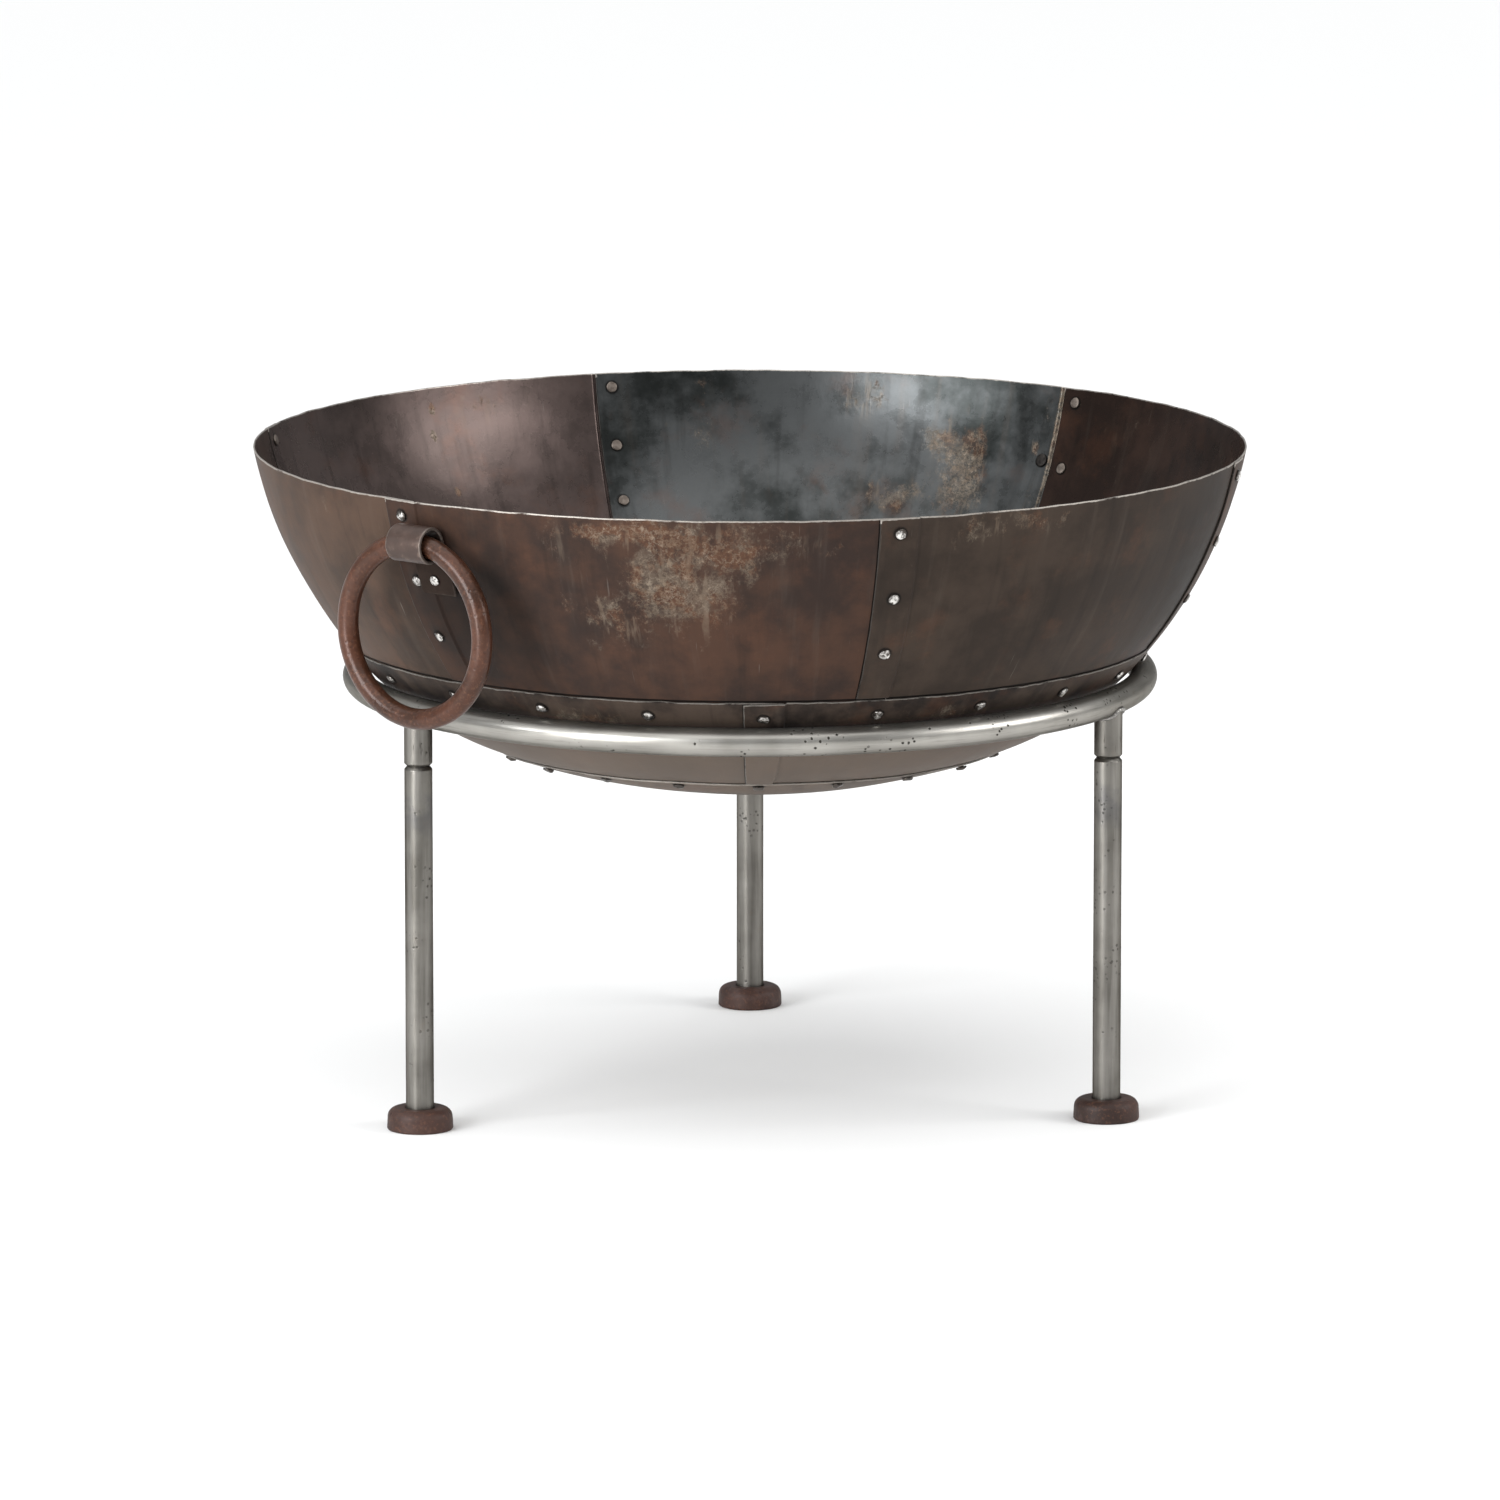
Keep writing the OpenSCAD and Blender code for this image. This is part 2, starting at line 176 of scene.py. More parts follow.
UPPER = Arc(RIM_R - UPPER_ARC_R * math.cos(RIM_TURN), RIM_Z + UPPER_ARC_R * math.sin(RIM_TURN), UPPER_ARC_R)
GIRTH_OUT = UPPER_ARC_R + GIRTH_GAP + SHEET_T - MIDDLE_ARC_R
MIDDLE = Arc(
    UPPER.r + GIRTH_OUT * math.cos(GIRTH_TURN), UPPER.z - GIRTH_OUT * math.sin(GIRTH_TURN), MIDDLE_ARC_R
)
DISH_EDGE_TURN = math.acos((DISH_EDGE_R - MIDDLE.r) / MIDDLE_ARC_R)
DISH_EDGE_Z = MIDDLE.z - MIDDLE_ARC_R * math.sin(DISH_EDGE_TURN) - LAP_GAP
DISH = Arc(0.0, DISH_EDGE_Z + math.sqrt(DISH_ARC_R**2 - DISH_EDGE_R**2), DISH_ARC_R + SHEET_T)

# A ring of lapped sheets. Turns: its top and end, the end of the strips at its seams, and where the sheets
# below start to cover it. Its seams, and how far a sheet reaches past them outside and inside. How much its
# top edge wanders, how far it starts down the wall and the seed of its edges.
Course = namedtuple("Course", "arc top end strip_end covered_from seams lap_out lap_in top_wave down seed")
UPPER_COURSE = Course(
    arc=UPPER, top=RIM_TURN, end=GIRTH_TURN + GIRTH_LAP / 2 / UPPER_ARC_R,
    strip_end=GIRTH_TURN - (GIRTH_LAP / 2 + 1.5 * MM) / UPPER_ARC_R,
    covered_from=GIRTH_TURN - GIRTH_LAP / 2 / UPPER_ARC_R,
    seams=UPPER_SEAMS, lap_out=math.radians(2.4), lap_in=math.radians(1.9),
    top_wave=0.9 * MM, down=0.0, seed=20,
)
MIDDLE_TOP = GIRTH_TURN - GIRTH_LAP / 2 / MIDDLE_ARC_R
MIDDLE_COURSE = Course(
    arc=MIDDLE, top=MIDDLE_TOP, end=DISH_LAP_TURN + math.radians(2.5),
    strip_end=DISH_EDGE_TURN - math.radians(1), covered_from=DISH_EDGE_TURN,
    seams=MIDDLE_SEAMS, lap_out=math.radians(2.8), lap_in=math.radians(2.7),
    top_wave=1.8 * MM, down=(MIDDLE_TOP - RIM_TURN) * UPPER_ARC_R, seed=26,
)


# ---- Small tools ----------------------------------------------------------------------------

def smooth(value, low, high):
    """0 at low, 1 at high, with a soft start and end."""
    t = np.clip((value - low) / (high - low), 0, 1)
    return t * t * (3 - 2 * t)


def waves(points, amount, longest, shortest, seed, terms=14):
    """A smooth random field over points: a sum of sine waves in random directions, about +-amount."""
    rng = np.random.default_rng(seed)
    total = np.zeros(points.shape[:-1])
    for _ in range(terms):
        length = longest * (shortest / longest) ** rng.random()
        direction = rng.normal(size=points.shape[-1])
        direction *= 2 * math.pi / length / np.linalg.norm(direction)
        total += np.sin(points @ direction + rng.random() * 2 * math.pi) * (length / longest) ** 0.5
    return amount * total / math.sqrt(terms)


def dents(points):
    """How far the hand-beaten wall stands in or out, one field for every sheet so that laps stay closed."""
    z = points[..., 2]
    from_ring = smooth(np.abs(z - STAND_Z), 0.016, 0.06)
    from_rim = smooth(RIM_Z - z, 0.0, 0.05)
    beaten = waves(points, 0.42 * MM, 0.3, 0.055, seed=5)
    sprung = waves(points, 0.5 * MM, 0.6, 0.2, seed=9, terms=8)
    return from_ring * (from_rim * (beaten + sprung) - (1 - from_rim) * 0.5 * MM)


def add_object(name, data):
    item = bpy.data.objects.new(name, data)
    bpy.context.scene.collection.objects.link(item)
    return item


def make_piece(node, look, points, faces, body, material, attributes=None, sharp=42):
    """Turns a closed mesh into the piece that stands for a CAD node and rides on a body."""
    name = f"{node}_{look}"
    mesh = bpy.data.meshes.new(name)
    mesh.from_pydata([tuple(p) for p in points], [], [tuple(int(i) for i in f) for f in faces])
    for key, values in (attributes or {}).items():
        layer = mesh.attributes.new(key, "FLOAT_VECTOR", "POINT")
        layer.data.foreach_set("vector", np.asarray(values, np.float32).ravel())
    shape = bmesh.new()
    shape.from_mesh(mesh)
    bmesh.ops.remove_doubles(shape, verts=shape.verts, dist=1e-7)
    bmesh.ops.recalc_face_normals(shape, faces=shape.faces)
    shape.to_mesh(mesh)
    shape.free()
    mesh.polygons.foreach_set("use_smooth", [True] * len(mesh.polygons))
    mesh.set_sharp_from_angle(angle=math.radians(sharp))
    mesh.materials.append(material)
    piece = add_object(name, mesh)
    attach(piece, body)
    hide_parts(node)


def grid_faces(rows, cols, wrap_rows=False, wrap_cols=False, first=0):
    """Quads of a grid of points that are numbered row by row."""
    faces = []
    for r in range(rows if wrap_rows else rows - 1):
        here, below = first + r * cols, first + (r + 1) % rows * cols
        for c in range(cols if wrap_cols else cols - 1):
            c1 = (c + 1) % cols
            faces.append((here + c, here + c1, below + c1, below + c))
    return faces


def shell_faces(cells, wrap=False):
    """Faces of a sheet with two skins: quads of both where cells is true, and a wall round every edge."""
    rows, cols = cells.shape[0] + 1, cells.shape[1] + (0 if wrap else 1)
    skin = rows * cols
    faces = []

    def is_in(r, c):
        if wrap:
            c %= cells.shape[1]
        return 0 <= r < cells.shape[0] and 0 <= c < cells.shape[1] and cells[r, c]

    for r, c in zip(*np.nonzero(cells)):
        here, below, c1 = r * cols, (r + 1) * cols, (c + 1) % cols
        a, b, d, e = here + c, here + c1, below + c1, below + c
        faces += [(a, b, d, e), (e + skin, d + skin, b + skin, a + skin)]
        sides = {(r - 1, c): (b, a), (r + 1, c): (e, d), (r, c - 1): (a, e), (r, c + 1): (d, b)}
        faces += [(p, q, q + skin, p + skin) for near, (p, q) in sides.items() if not is_in(*near)]
    return faces


def steps(low, high, size, fine=(0.25 * MM, 0.7 * MM, 1.6 * MM), unit=1.0):
    """Values from low to high about size apart, closer at both ends. unit turns metres into their unit."""
    ends = [f * unit for f in fine]
    inner_low, inner_high = low + ends[-1], high - ends[-1]
    count = max(2, int(round((inner_high - inner_low) / (size * unit))))
    middle = list(np.linspace(inner_low, inner_high, count + 1))
    return [low] + [low + e for e in ends[:-1]] + middle + [high - e for e in reversed(ends[:-1])] + [high]


def with_line(values, line, unit, pitch=0.6 * MM, reach=4):
    """The values with more of them close round a line, as a sorted array."""
    extra = [line + k * pitch * unit for k in range(-reach, reach + 1)]
    kept = [v for v in extra if min(abs(v - known) for known in values) > 0.15 * MM * unit]
    return np.array(sorted(list(values) + kept))


def rounded(outline, radius, closed=True, parts=4):
    """An outline of (r, z) points with each corner turned into an arc of about that radius."""
    result = []
    count = len(outline)
    for i, corner in enumerate(outline):
        here = np.array(corner, float)
        if not closed and i in (0, count - 1):
            result.append(here)
            continue
        before = np.array(outline[i - 1], float) - here
        after = np.array(outline[(i + 1) % count], float) - here
        reach = min(radius, 0.45 * np.linalg.norm(before), 0.45 * np.linalg.norm(after))
        start = here + before / np.linalg.norm(before) * reach
        end = here + after / np.linalg.norm(after) * reach
        for k in range(parts + 1):
            t = k / parts
            result.append((1 - t) ** 2 * start + 2 * t * (1 - t) * here + t * t * end)
    return result


def filled(outline, spacing, closed=True):
    """The outline with points added so that none are further apart than spacing."""
    result = []
    count = len(outline)
    for i in range(count if closed else count - 1):
        a, b = np.array(outline[i], float), np.array(outline[(i + 1) % count], float)
        parts = max(1, int(math.ceil(np.linalg.norm(b - a) / spacing)))
        result += [a + (b - a) * k / parts for k in range(parts)]
    if not closed:
        result.append(np.array(outline[-1], float))
    return np.array(result)


def compass(azimuth):
    """The outward and the sideways unit vector at an azimuth."""
    sine, cosine = math.sin(azimuth), math.cos(azimuth)
    return np.array([sine, -cosine, 0.0]), np.array([cosine, sine, 0.0])


def swung(first, second, angle):
    """The direction at an angle from one unit vector towards another."""
    return first * math.cos(angle) + second * math.sin(angle)


def full_turn(count):
    """Even angles all the way round."""
    return [2 * math.pi * k / count for k in range(count)]


def at_height(z):
    return np.array([0, 0, z])


def leg_centre(leg):
    return STAND_R * compass(LEG_AZIMUTHS[leg])[0]


# ---- Materials ------------------------------------------------------------------------------

class Graph:
    """A material's node tree, written as short calls."""

    def __init__(self, name):
        self.material = bpy.data.materials.new(name)
        self.material.use_nodes = True
        self.tree = self.material.node_tree
        self.tree.nodes.clear()
        self.shader = self.tree.nodes.new("ShaderNodeBsdfPrincipled")
        output = self.tree.nodes.new("ShaderNodeOutputMaterial")
        self.tree.links.new(self.shader.outputs[0], output.inputs[0])

    def put(self, socket, value):
        if isinstance(value, bpy.types.NodeSocket):
            self.tree.links.new(value, socket)
        elif isinstance(value, tuple) and len(value) == 3 and socket.type == "RGBA":
            socket.default_value = (*value, 1)
        else:
            socket.default_value = value

    def set(self, **values):
        for key, value in values.items():
            self.put(self.shader.inputs[key.replace("_", " ")], value)

    def math(self, operation, a, b=0.0):
        node = self.tree.nodes.new("ShaderNodeMath")
        node.operation = operation
        self.put(node.inputs[0], a)
        self.put(node.inputs[1], b)
        return node.outputs[0]

    def add(self, a, b):
        return self.math("ADD", a, b)

    def times(self, a, b):
        return self.math("MULTIPLY", a, b)

    def window(self, value, low, high, to_low=0.0, to_high=1.0):
        """to_low where value is at low and to_high where it is at high, with a soft start and end."""
        node = self.tree.nodes.new("ShaderNodeMapRange")
        node.interpolation_type = "SMOOTHSTEP"
        for socket, number in zip(node.inputs, (value, low, high, to_low, to_high)):
            self.put(socket, number)
        return node.outputs[0]

    def mix(self, factor, a, b):
        node = self.tree.nodes.new("ShaderNodeMix")
        node.data_type = "RGBA"
        node.clamp_factor = True
        self.put(node.inputs[0], factor)
        self.put(node.inputs[6], a)
        self.put(node.inputs[7], b)
        return node.outputs[2]

    def cover(self, colour, over, amount, *masks):
        """The colour with another one laid over it, at most by amount, where every mask is 1."""
        factor = masks[0]
        for mask in masks[1:]:
            factor = self.times(factor, mask)
        return self.mix(self.times(factor, amount), colour, over)

    def attribute(self, name):
        node = self.tree.nodes.new("ShaderNodeAttribute")
        node.attribute_name = name
        return node.outputs["Vector"]

    def object_place(self):
        return self.tree.nodes.new("ShaderNodeTexCoord").outputs["Object"]

    def split(self, vector):
        node = self.tree.nodes.new("ShaderNodeSeparateXYZ")
        self.put(node.inputs[0], vector)
        return node.outputs

    def stretch(self, vector, scale, shift=(0, 0, 0)):
        node = self.tree.nodes.new("ShaderNodeMapping")
        self.put(node.inputs["Vector"], vector)
        node.inputs["Scale"].default_value = scale
        node.inputs["Location"].default_value = shift
        return node.outputs[0]

    def noise(self, vector, scale, detail=4.0, roughness=0.5, distortion=0.0):
        node = self.tree.nodes.new("ShaderNodeTexNoise")
        self.put(node.inputs["Vector"], vector)
        node.inputs["Scale"].default_value = scale
        node.inputs["Detail"].default_value = detail
        node.inputs["Roughness"].default_value = roughness
        node.inputs["Distortion"].default_value = distortion
        return node.outputs[0]

    def spots(self, vector, scale, low, high, detail=4.0, roughness=0.5):
        """Soft-edged spots of noise: 0 where it is below low, 1 where it is above high."""
        return self.window(self.noise(vector, scale, detail, roughness), low, high)

    def cells(self, vector, scale):
        """Distance from the nearest of many scattered points, in cells."""
        node = self.tree.nodes.new("ShaderNodeTexVoronoi")
        self.put(node.inputs["Vector"], vector)
        node.inputs["Scale"].default_value = scale
        return node.outputs["Distance"]

    def bump(self, *layers):
        """Bump from (height, depth in metres) layers."""
        normal = None
        for height, depth in layers:
            node = self.tree.nodes.new("ShaderNodeBump")
            node.inputs["Strength"].default_value = 1.0
            node.inputs["Distance"].default_value = depth
            self.put(node.inputs["Height"], height)
            if normal is not None:
                self.put(node.inputs["Normal"], normal)
            normal = node.outputs[0]
        self.put(self.shader.inputs["Normal"], normal)


TAN = (0.190, 0.140, 0.098)
PALE_TAN = (0.270, 0.222, 0.170)
ORANGE_STAIN = (0.118, 0.057, 0.032)
GREY_STAIN = (0.125, 0.100, 0.076)
PALE_RUN = (0.105, 0.082, 0.066)
LOW_WALL = (0.165, 0.130, 0.104)
SCRATCH = (0.22, 0.20, 0.18)
RUST = (0.115, 0.048, 0.026)
# Sooty black, and the colour of the painted shade on the cut edges at the laps
SOOT_AND_SHADE = (0.010, 0.009, 0.008)
# Colour of the painted shadow along the laps and of the painted shade in darkened places
PAINTED_SHADE_COLOUR = (0.004, 0.0035, 0.003)
WORN = (0.44, 0.405, 0.365)
SHEET_SPECULAR = 0.06
BELOW_RING = (0.212, 0.240)  # metres down the wall, where the outside turns paler


def sheet_material(name, outside, outside_dark, inside, inside_dark, seed, edge_wear=0.06):
    """Oxidised sheet steel. The place attribute is (round the wall, down the wall, side); the second
    attribute is (distance from the sheet's edge, distance from the nearest rivet, how much scale there is,
    with painted shade where it is below 0)."""
    g = Graph(name)
    place = g.attribute("place")
    _, down, side = g.split(place)
    edge, rivet, scale = g.split(g.attribute("wear_and_shade"))
    here = g.stretch(place, (1, 1, 3), (seed, 0, 0))
    drawn = g.stretch(place, (1, 0.10, 3), (seed, 2, 0))
    cloud = g.noise(here, 6, 3, 0.5)
    mottle = g.noise(here, 30, 6, 0.62)
    fine = g.noise(here, 190, 4, 0.6)
    streaks = g.noise(drawn, 55, 4, 0.55)
    light = g.mix(side, outside, inside)
    dark = g.mix(side, outside_dark, inside_dark)
    outer = g.window(side, 0.0, 1.0, 1.0, 0.0)
    blotch = g.window(g.add(g.times(cloud, 0.6), g.times(mottle, 0.4)), 0.40, 0.60)
    colour = g.mix(blotch, dark, light)
    # Runs down the wall, some paler and some sooty
    colour = g.cover(colour, PALE_RUN, 0.16, g.window(streaks, 0.54, 0.74))
    colour = g.cover(colour, SOOT_AND_SHADE, 0.24, g.window(streaks, 0.45, 0.32))
    colour = g.cover(colour, RUST, 0.22, g.spots(here, 13, 0.52, 0.70, 7, 0.66))
    # Below the stand's ring the outside is paler
    colour = g.cover(colour, LOW_WALL, 0.55, g.window(down, *BELOW_RING), outer)
    # Old scale: a stain of orange and grey-tan, fine veins and pale flecks over it, and pale runs below
    ragged = g.noise(g.stretch(place, (1, 0.7, 3), (seed, 4, 0)), 36, 10, 0.76, 0.1)
    speck = g.noise(here, 150, 6, 0.74)
    veins = g.window(g.math("ABSOLUTE", g.add(g.noise(here, 80, 8, 0.70, 0.2), -0.5)), 0.026, 0.008)
    stained = g.window(g.add(ragged, g.times(scale, 0.34)), 0.62, 0.80)
    greyer = g.add(g.noise(here, 24, 6, 0.65), g.times(side, 0.05))
    stain = g.mix(g.window(greyer, 0.45, 0.54), ORANGE_STAIN, GREY_STAIN)
    stain = g.mix(g.window(speck, 0.36, 0.56), g.mix(0.6, stain, dark), stain)
    colour = g.cover(colour, stain, 0.52, stained)
    more_flecks = g.times(scale, g.add(0.16, g.times(side, 0.03)))
    flecks = g.add(g.add(g.times(speck, 0.60), g.times(ragged, 0.40)), more_flecks)
    flecks = g.times(g.window(flecks, 0.64, 0.71), g.window(fine, 0.44, 0.56))
    trails = g.spots(g.stretch(place, (1, 0.16, 3), (seed, 7, 0)), 85, 0.57, 0.66, 4, 0.6)
    runs = g.times(trails, g.window(scale, 0.10, 0.55))
    flaked = g.math("MAXIMUM", g.times(flecks, 0.56), g.times(runs, 0.22))
    flaked = g.math("MAXIMUM", flaked, g.times(g.times(veins, stained), 0.40))
    colour = g.mix(flaked, colour, g.mix(g.spots(here, 60, 0.42, 0.66, 5, 0.6), TAN, PALE_TAN))
    # Painted shade: a shadow line along the edges of the sheets over this one, and darkened places
    colour = g.mix(g.window(scale, -0.15, -0.70, 0.0, 0.90), colour, PAINTED_SHADE_COLOUR)
    # Darker close round each rivet
    ring = g.window(g.add(rivet, g.times(g.add(mottle, -0.5), 0.004)), 0.0078, 0.0058)
    colour = g.cover(colour, SOOT_AND_SHADE, 0.75, ring)
    # Cut edges: the rim is rubbed bright, the laps get painted shade with a few bright places
    ragged_edge = g.add(edge, g.times(g.add(fine, -0.5), 0.0016))
    at_rim = g.window(down, 0.0045, 0.0035)
    reach = g.add(0.0008, g.times(at_rim, 0.0003))
    worn = g.window(g.math("SUBTRACT", ragged_edge, reach), 0.0002, -0.0004)
    worn = g.times(worn, g.spots(here, 30, 0.36, 0.50, 4, 0.65))
    worn = g.times(worn, g.window(at_rim, 0.0, 1.0, edge_wear, 0.72))
    # Painted shade over the rounded edges at the laps, which would otherwise catch the light
    lapped = g.times(g.window(edge, 0.0012, 0.0004), g.window(at_rim, 0.0, 1.0, 0.75, 0.0))
    colour = g.mix(lapped, colour, SOOT_AND_SHADE)
    colour = g.mix(worn, colour, WORN)
    # Fine scratches
    scratch = g.spots(g.stretch(place, (1, 0.05, 3), (seed, 5, 0)), 420, 0.70, 0.78, 2, 0.5)
    colour = g.cover(colour, SCRATCH, 0.30, scratch, g.spots(here, 12, 0.5, 0.62, 3, 0.5))
    # Satin inside, duller outside and dull on scale
    rough = g.add(g.window(side, 0.0, 1.0, 0.52, 0.28), g.times(g.add(mottle, -0.5), 0.20))
    rough = g.math("MAXIMUM", g.add(rough, g.times(flaked, 0.24)), 0.2)
    metal = g.math("MAXIMUM", g.times(side, 0.65), worn)
    metal = g.times(metal, g.window(flaked, 0.0, 1.0, 1.0, 0.2))
    g.set(Base_Color=colour, Roughness=rough, Metallic=metal, Specular_IOR_Level=SHEET_SPECULAR)
    g.bump((mottle, 0.00020), (fine, 0.00005), (flaked, 0.00018))
    return g.material


def steel_material(name, base=(0.186, 0.176, 0.159), dark=(0.112, 0.105, 0.093), tinted=False,
                   scored=False, pitting=0.95, seed=0.0):
    """Raw drawn tube. The place attribute is (along the tube, round it, distance below its top)."""
    g = Graph(name)
    place = g.attribute("place")
    _, _, below = g.split(place)
    flat = g.stretch(place, (1, 1, 0), (seed, 0, 0))
    drawn = g.stretch(place, (0.05, 1, 0), (seed, 0, 0))
    cloud = g.noise(flat, 14, 4, 0.55)
    grain = g.noise(drawn, 520, 3, 0.6)
    colour = g.mix(g.window(cloud, 0.34, 0.66), dark, base)
    pale = g.mix(0.45, base, (0.5, 0.48, 0.45))
    colour = g.cover(colour, pale, 0.35, g.spots(drawn, 110, 0.44, 0.66, 4, 0.55))
    colour = g.cover(colour, (0.12, 0.112, 0.098), 0.30, g.window(grain, 0.50, 0.72))
    colour = g.cover(colour, (0.19, 0.15, 0.115), 0.30, g.spots(flat, 38, 0.60, 0.74, 6, 0.65))
    # Pits in small groups, with dark scale left in them
    here = g.object_place()
    ragged_pits = g.add(g.cells(here, 190), g.times(g.add(g.noise(here, 260, 3, 0.6), -0.5), 0.5))
    pitted = g.times(g.window(ragged_pits, 0.30, 0.16), g.spots(here, 24, 0.52, 0.58, 4, 0.6))
    colour = g.cover(colour, (0.022, 0.019, 0.016), pitting, pitted)
    if tinted:
        # Heat tint below the weld of the plug
        ragged = g.add(below, g.times(g.add(cloud, -0.5), 0.020))
        heat = g.times(g.window(ragged, 0.020, 0.032), g.window(ragged, 0.075, 0.040))
        colour = g.cover(colour, (0.085, 0.085, 0.090), 0.55, heat, g.spots(flat, 30, 0.40, 0.62, 4, 0.6))
    if scored:
        # Where the end was filed and knocked about
        marks = g.spots(g.stretch(place, (0.16, 1, 0), (seed, 1, 0)), 300, 0.60, 0.68, 2, 0.5)
        colour = g.cover(colour, (0.05, 0.044, 0.038), 0.75, marks, g.window(below, 0.022, 0.030))
    rough = g.add(g.add(0.27, g.times(cloud, 0.14)), g.times(pitted, 0.3))
    g.set(Base_Color=colour, Roughness=rough, Metallic=0.92, Specular_Tint=(0.30, 0.29, 0.28))
    g.bump((cloud, 0.00008), (grain, 0.00002), (g.times(pitted, -1.0), 0.0002))
    return g.material


def rust_material(name, base=(0.065, 0.024, 0.013), dark=(0.033, 0.014, 0.008), scuff=(0.112, 0.058, 0.039),
                  gloss=0.31, seed=0.0):
    """Forged iron with an even coat of red-brown rust, rubbed smooth where hands hold it."""
    g = Graph(name)
    here = g.stretch(g.object_place(), (1, 1, 1), (seed, 0, 0))
    cloud = g.noise(here, 20, 6, 0.60)
    grit = g.noise(here, 330, 5, 0.7)
    pits = g.window(g.cells(here, 150), 0.30, 0.12)
    colour = g.mix(g.window(cloud, 0.36, 0.64), dark, base)
    colour = g.cover(colour, scuff, 0.45, g.spots(here, 55, 0.52, 0.70, 6, 0.65))
    colour = g.cover(colour, (0.21, 0.092, 0.050), 0.30, g.window(grit, 0.50, 0.70))
    colour = g.cover(colour, (0.034, 0.016, 0.012), 0.35, pits)
    rough = g.add(gloss, g.times(g.add(g.add(cloud, grit), -1.0), 0.16))
    g.set(Base_Color=colour, Roughness=rough, Metallic=0.15, Specular_IOR_Level=0.30)
    g.bump((cloud, 0.0004), (grit, 0.00008), (g.times(pits, -1.0), 0.00018))
    return g.material


def strap_material(name):
    """Flat bar, browned, rubbed paler along its edges, with painted shade on its tail under the loop. Its
    attribute is (distance from an edge, 1 on the tail and 0 on the loop, 0)."""
    g = Graph(name)
    here = g.object_place()
    edge, tail, _ = g.split(g.attribute("wear_and_shade"))
    cloud = g.noise(here, 26, 6, 0.60)
    grit = g.noise(here, 260, 5, 0.65)
    colour = g.mix(g.window(cloud, 0.38, 0.62), (0.040, 0.023, 0.017), (0.080, 0.049, 0.038))
    colour = g.cover(colour, (0.16, 0.11, 0.085), 0.45, g.spots(here, 70, 0.54, 0.70, 5, 0.6))
    worn = g.window(g.add(edge, g.times(g.add(grit, -0.5), 0.003)), 0.0018, 0.0004)
    worn = g.times(worn, g.spots(here, 40, 0.40, 0.58, 3, 0.6))
    colour = g.cover(colour, (0.30, 0.26, 0.23), 0.45, worn)
    # Painted shade: the tail under the loop is made nearly black, and dull
    colour = g.cover(colour, (0.014, 0.010, 0.008), 0.88, tail)
    rough = g.add(g.add(0.32, g.times(grit, 0.2)), g.times(tail, 0.3))
    metal = g.times(g.window(worn, 0.0, 1.0, 0.2, 0.7), g.window(tail, 0.0, 1.0, 1.0, 0.0))
    g.set(Base_Color=colour, Roughness=rough, Metallic=metal)
    g.set(Specular_IOR_Level=g.window(tail, 0.0, 1.0, 0.40, 0.04))
    g.bump((cloud, 0.0003), (grit, 0.00006))
    return g.material


def rivet_material(name, inner_light=(0.21, 0.175, 0.15), inner_dark=(0.12, 0.098, 0.082),
                   worn=(0.66, 0.64, 0.61)):
    """Hammered rivet. The head attribute is (height over the sheet, distance from the axis, 1 on the
    inner head and 0 elsewhere)."""
    g = Graph(name)
    here = g.object_place()
    height, _, inner = g.split(g.attribute("head"))
    cloud = g.noise(here, 170, 4, 0.6)
    grit = g.noise(here, 700, 4, 0.6)
    # The head is paler towards its top: worn metal, made pale enough to also be a painted highlight
    top = g.window(g.add(height, g.times(g.add(cloud, -0.5), 0.0070)), 0.0014, 0.0030)
    colour = g.mix(top, (0.075, 0.064, 0.056), worn)
    colour = g.cover(colour, (0.045, 0.038, 0.033), 0.80, g.spots(here, 420, 0.50, 0.57, 3, 0.6))
    colour = g.mix(inner, colour, g.mix(g.window(cloud, 0.38, 0.62), inner_dark, inner_light))
    rough = g.add(g.add(0.24, g.times(grit, 0.2)), g.times(inner, 0.12))
    g.set(Base_Color=colour, Roughness=rough, Metallic=0.85)
    g.bump((cloud, 0.0003), (grit, 0.00005))
    return g.material


def weld_material(name):
    """Weld metal: mottled pale and dark grey."""
    g = Graph(name)
    here = g.object_place()
    cloud = g.noise(here, 120, 4, 0.6)
    grit = g.noise(here, 900, 4, 0.6)
    colour = g.mix(g.window(cloud, 0.36, 0.64), (0.15, 0.14, 0.13), (0.36, 0.35, 0.33))
    g.set(Base_Color=colour, Roughness=g.add(0.30, g.times(grit, 0.2)), Metallic=0.9)
    g.bump((cloud, 0.0003), (grit, 0.00004))
    return g.material
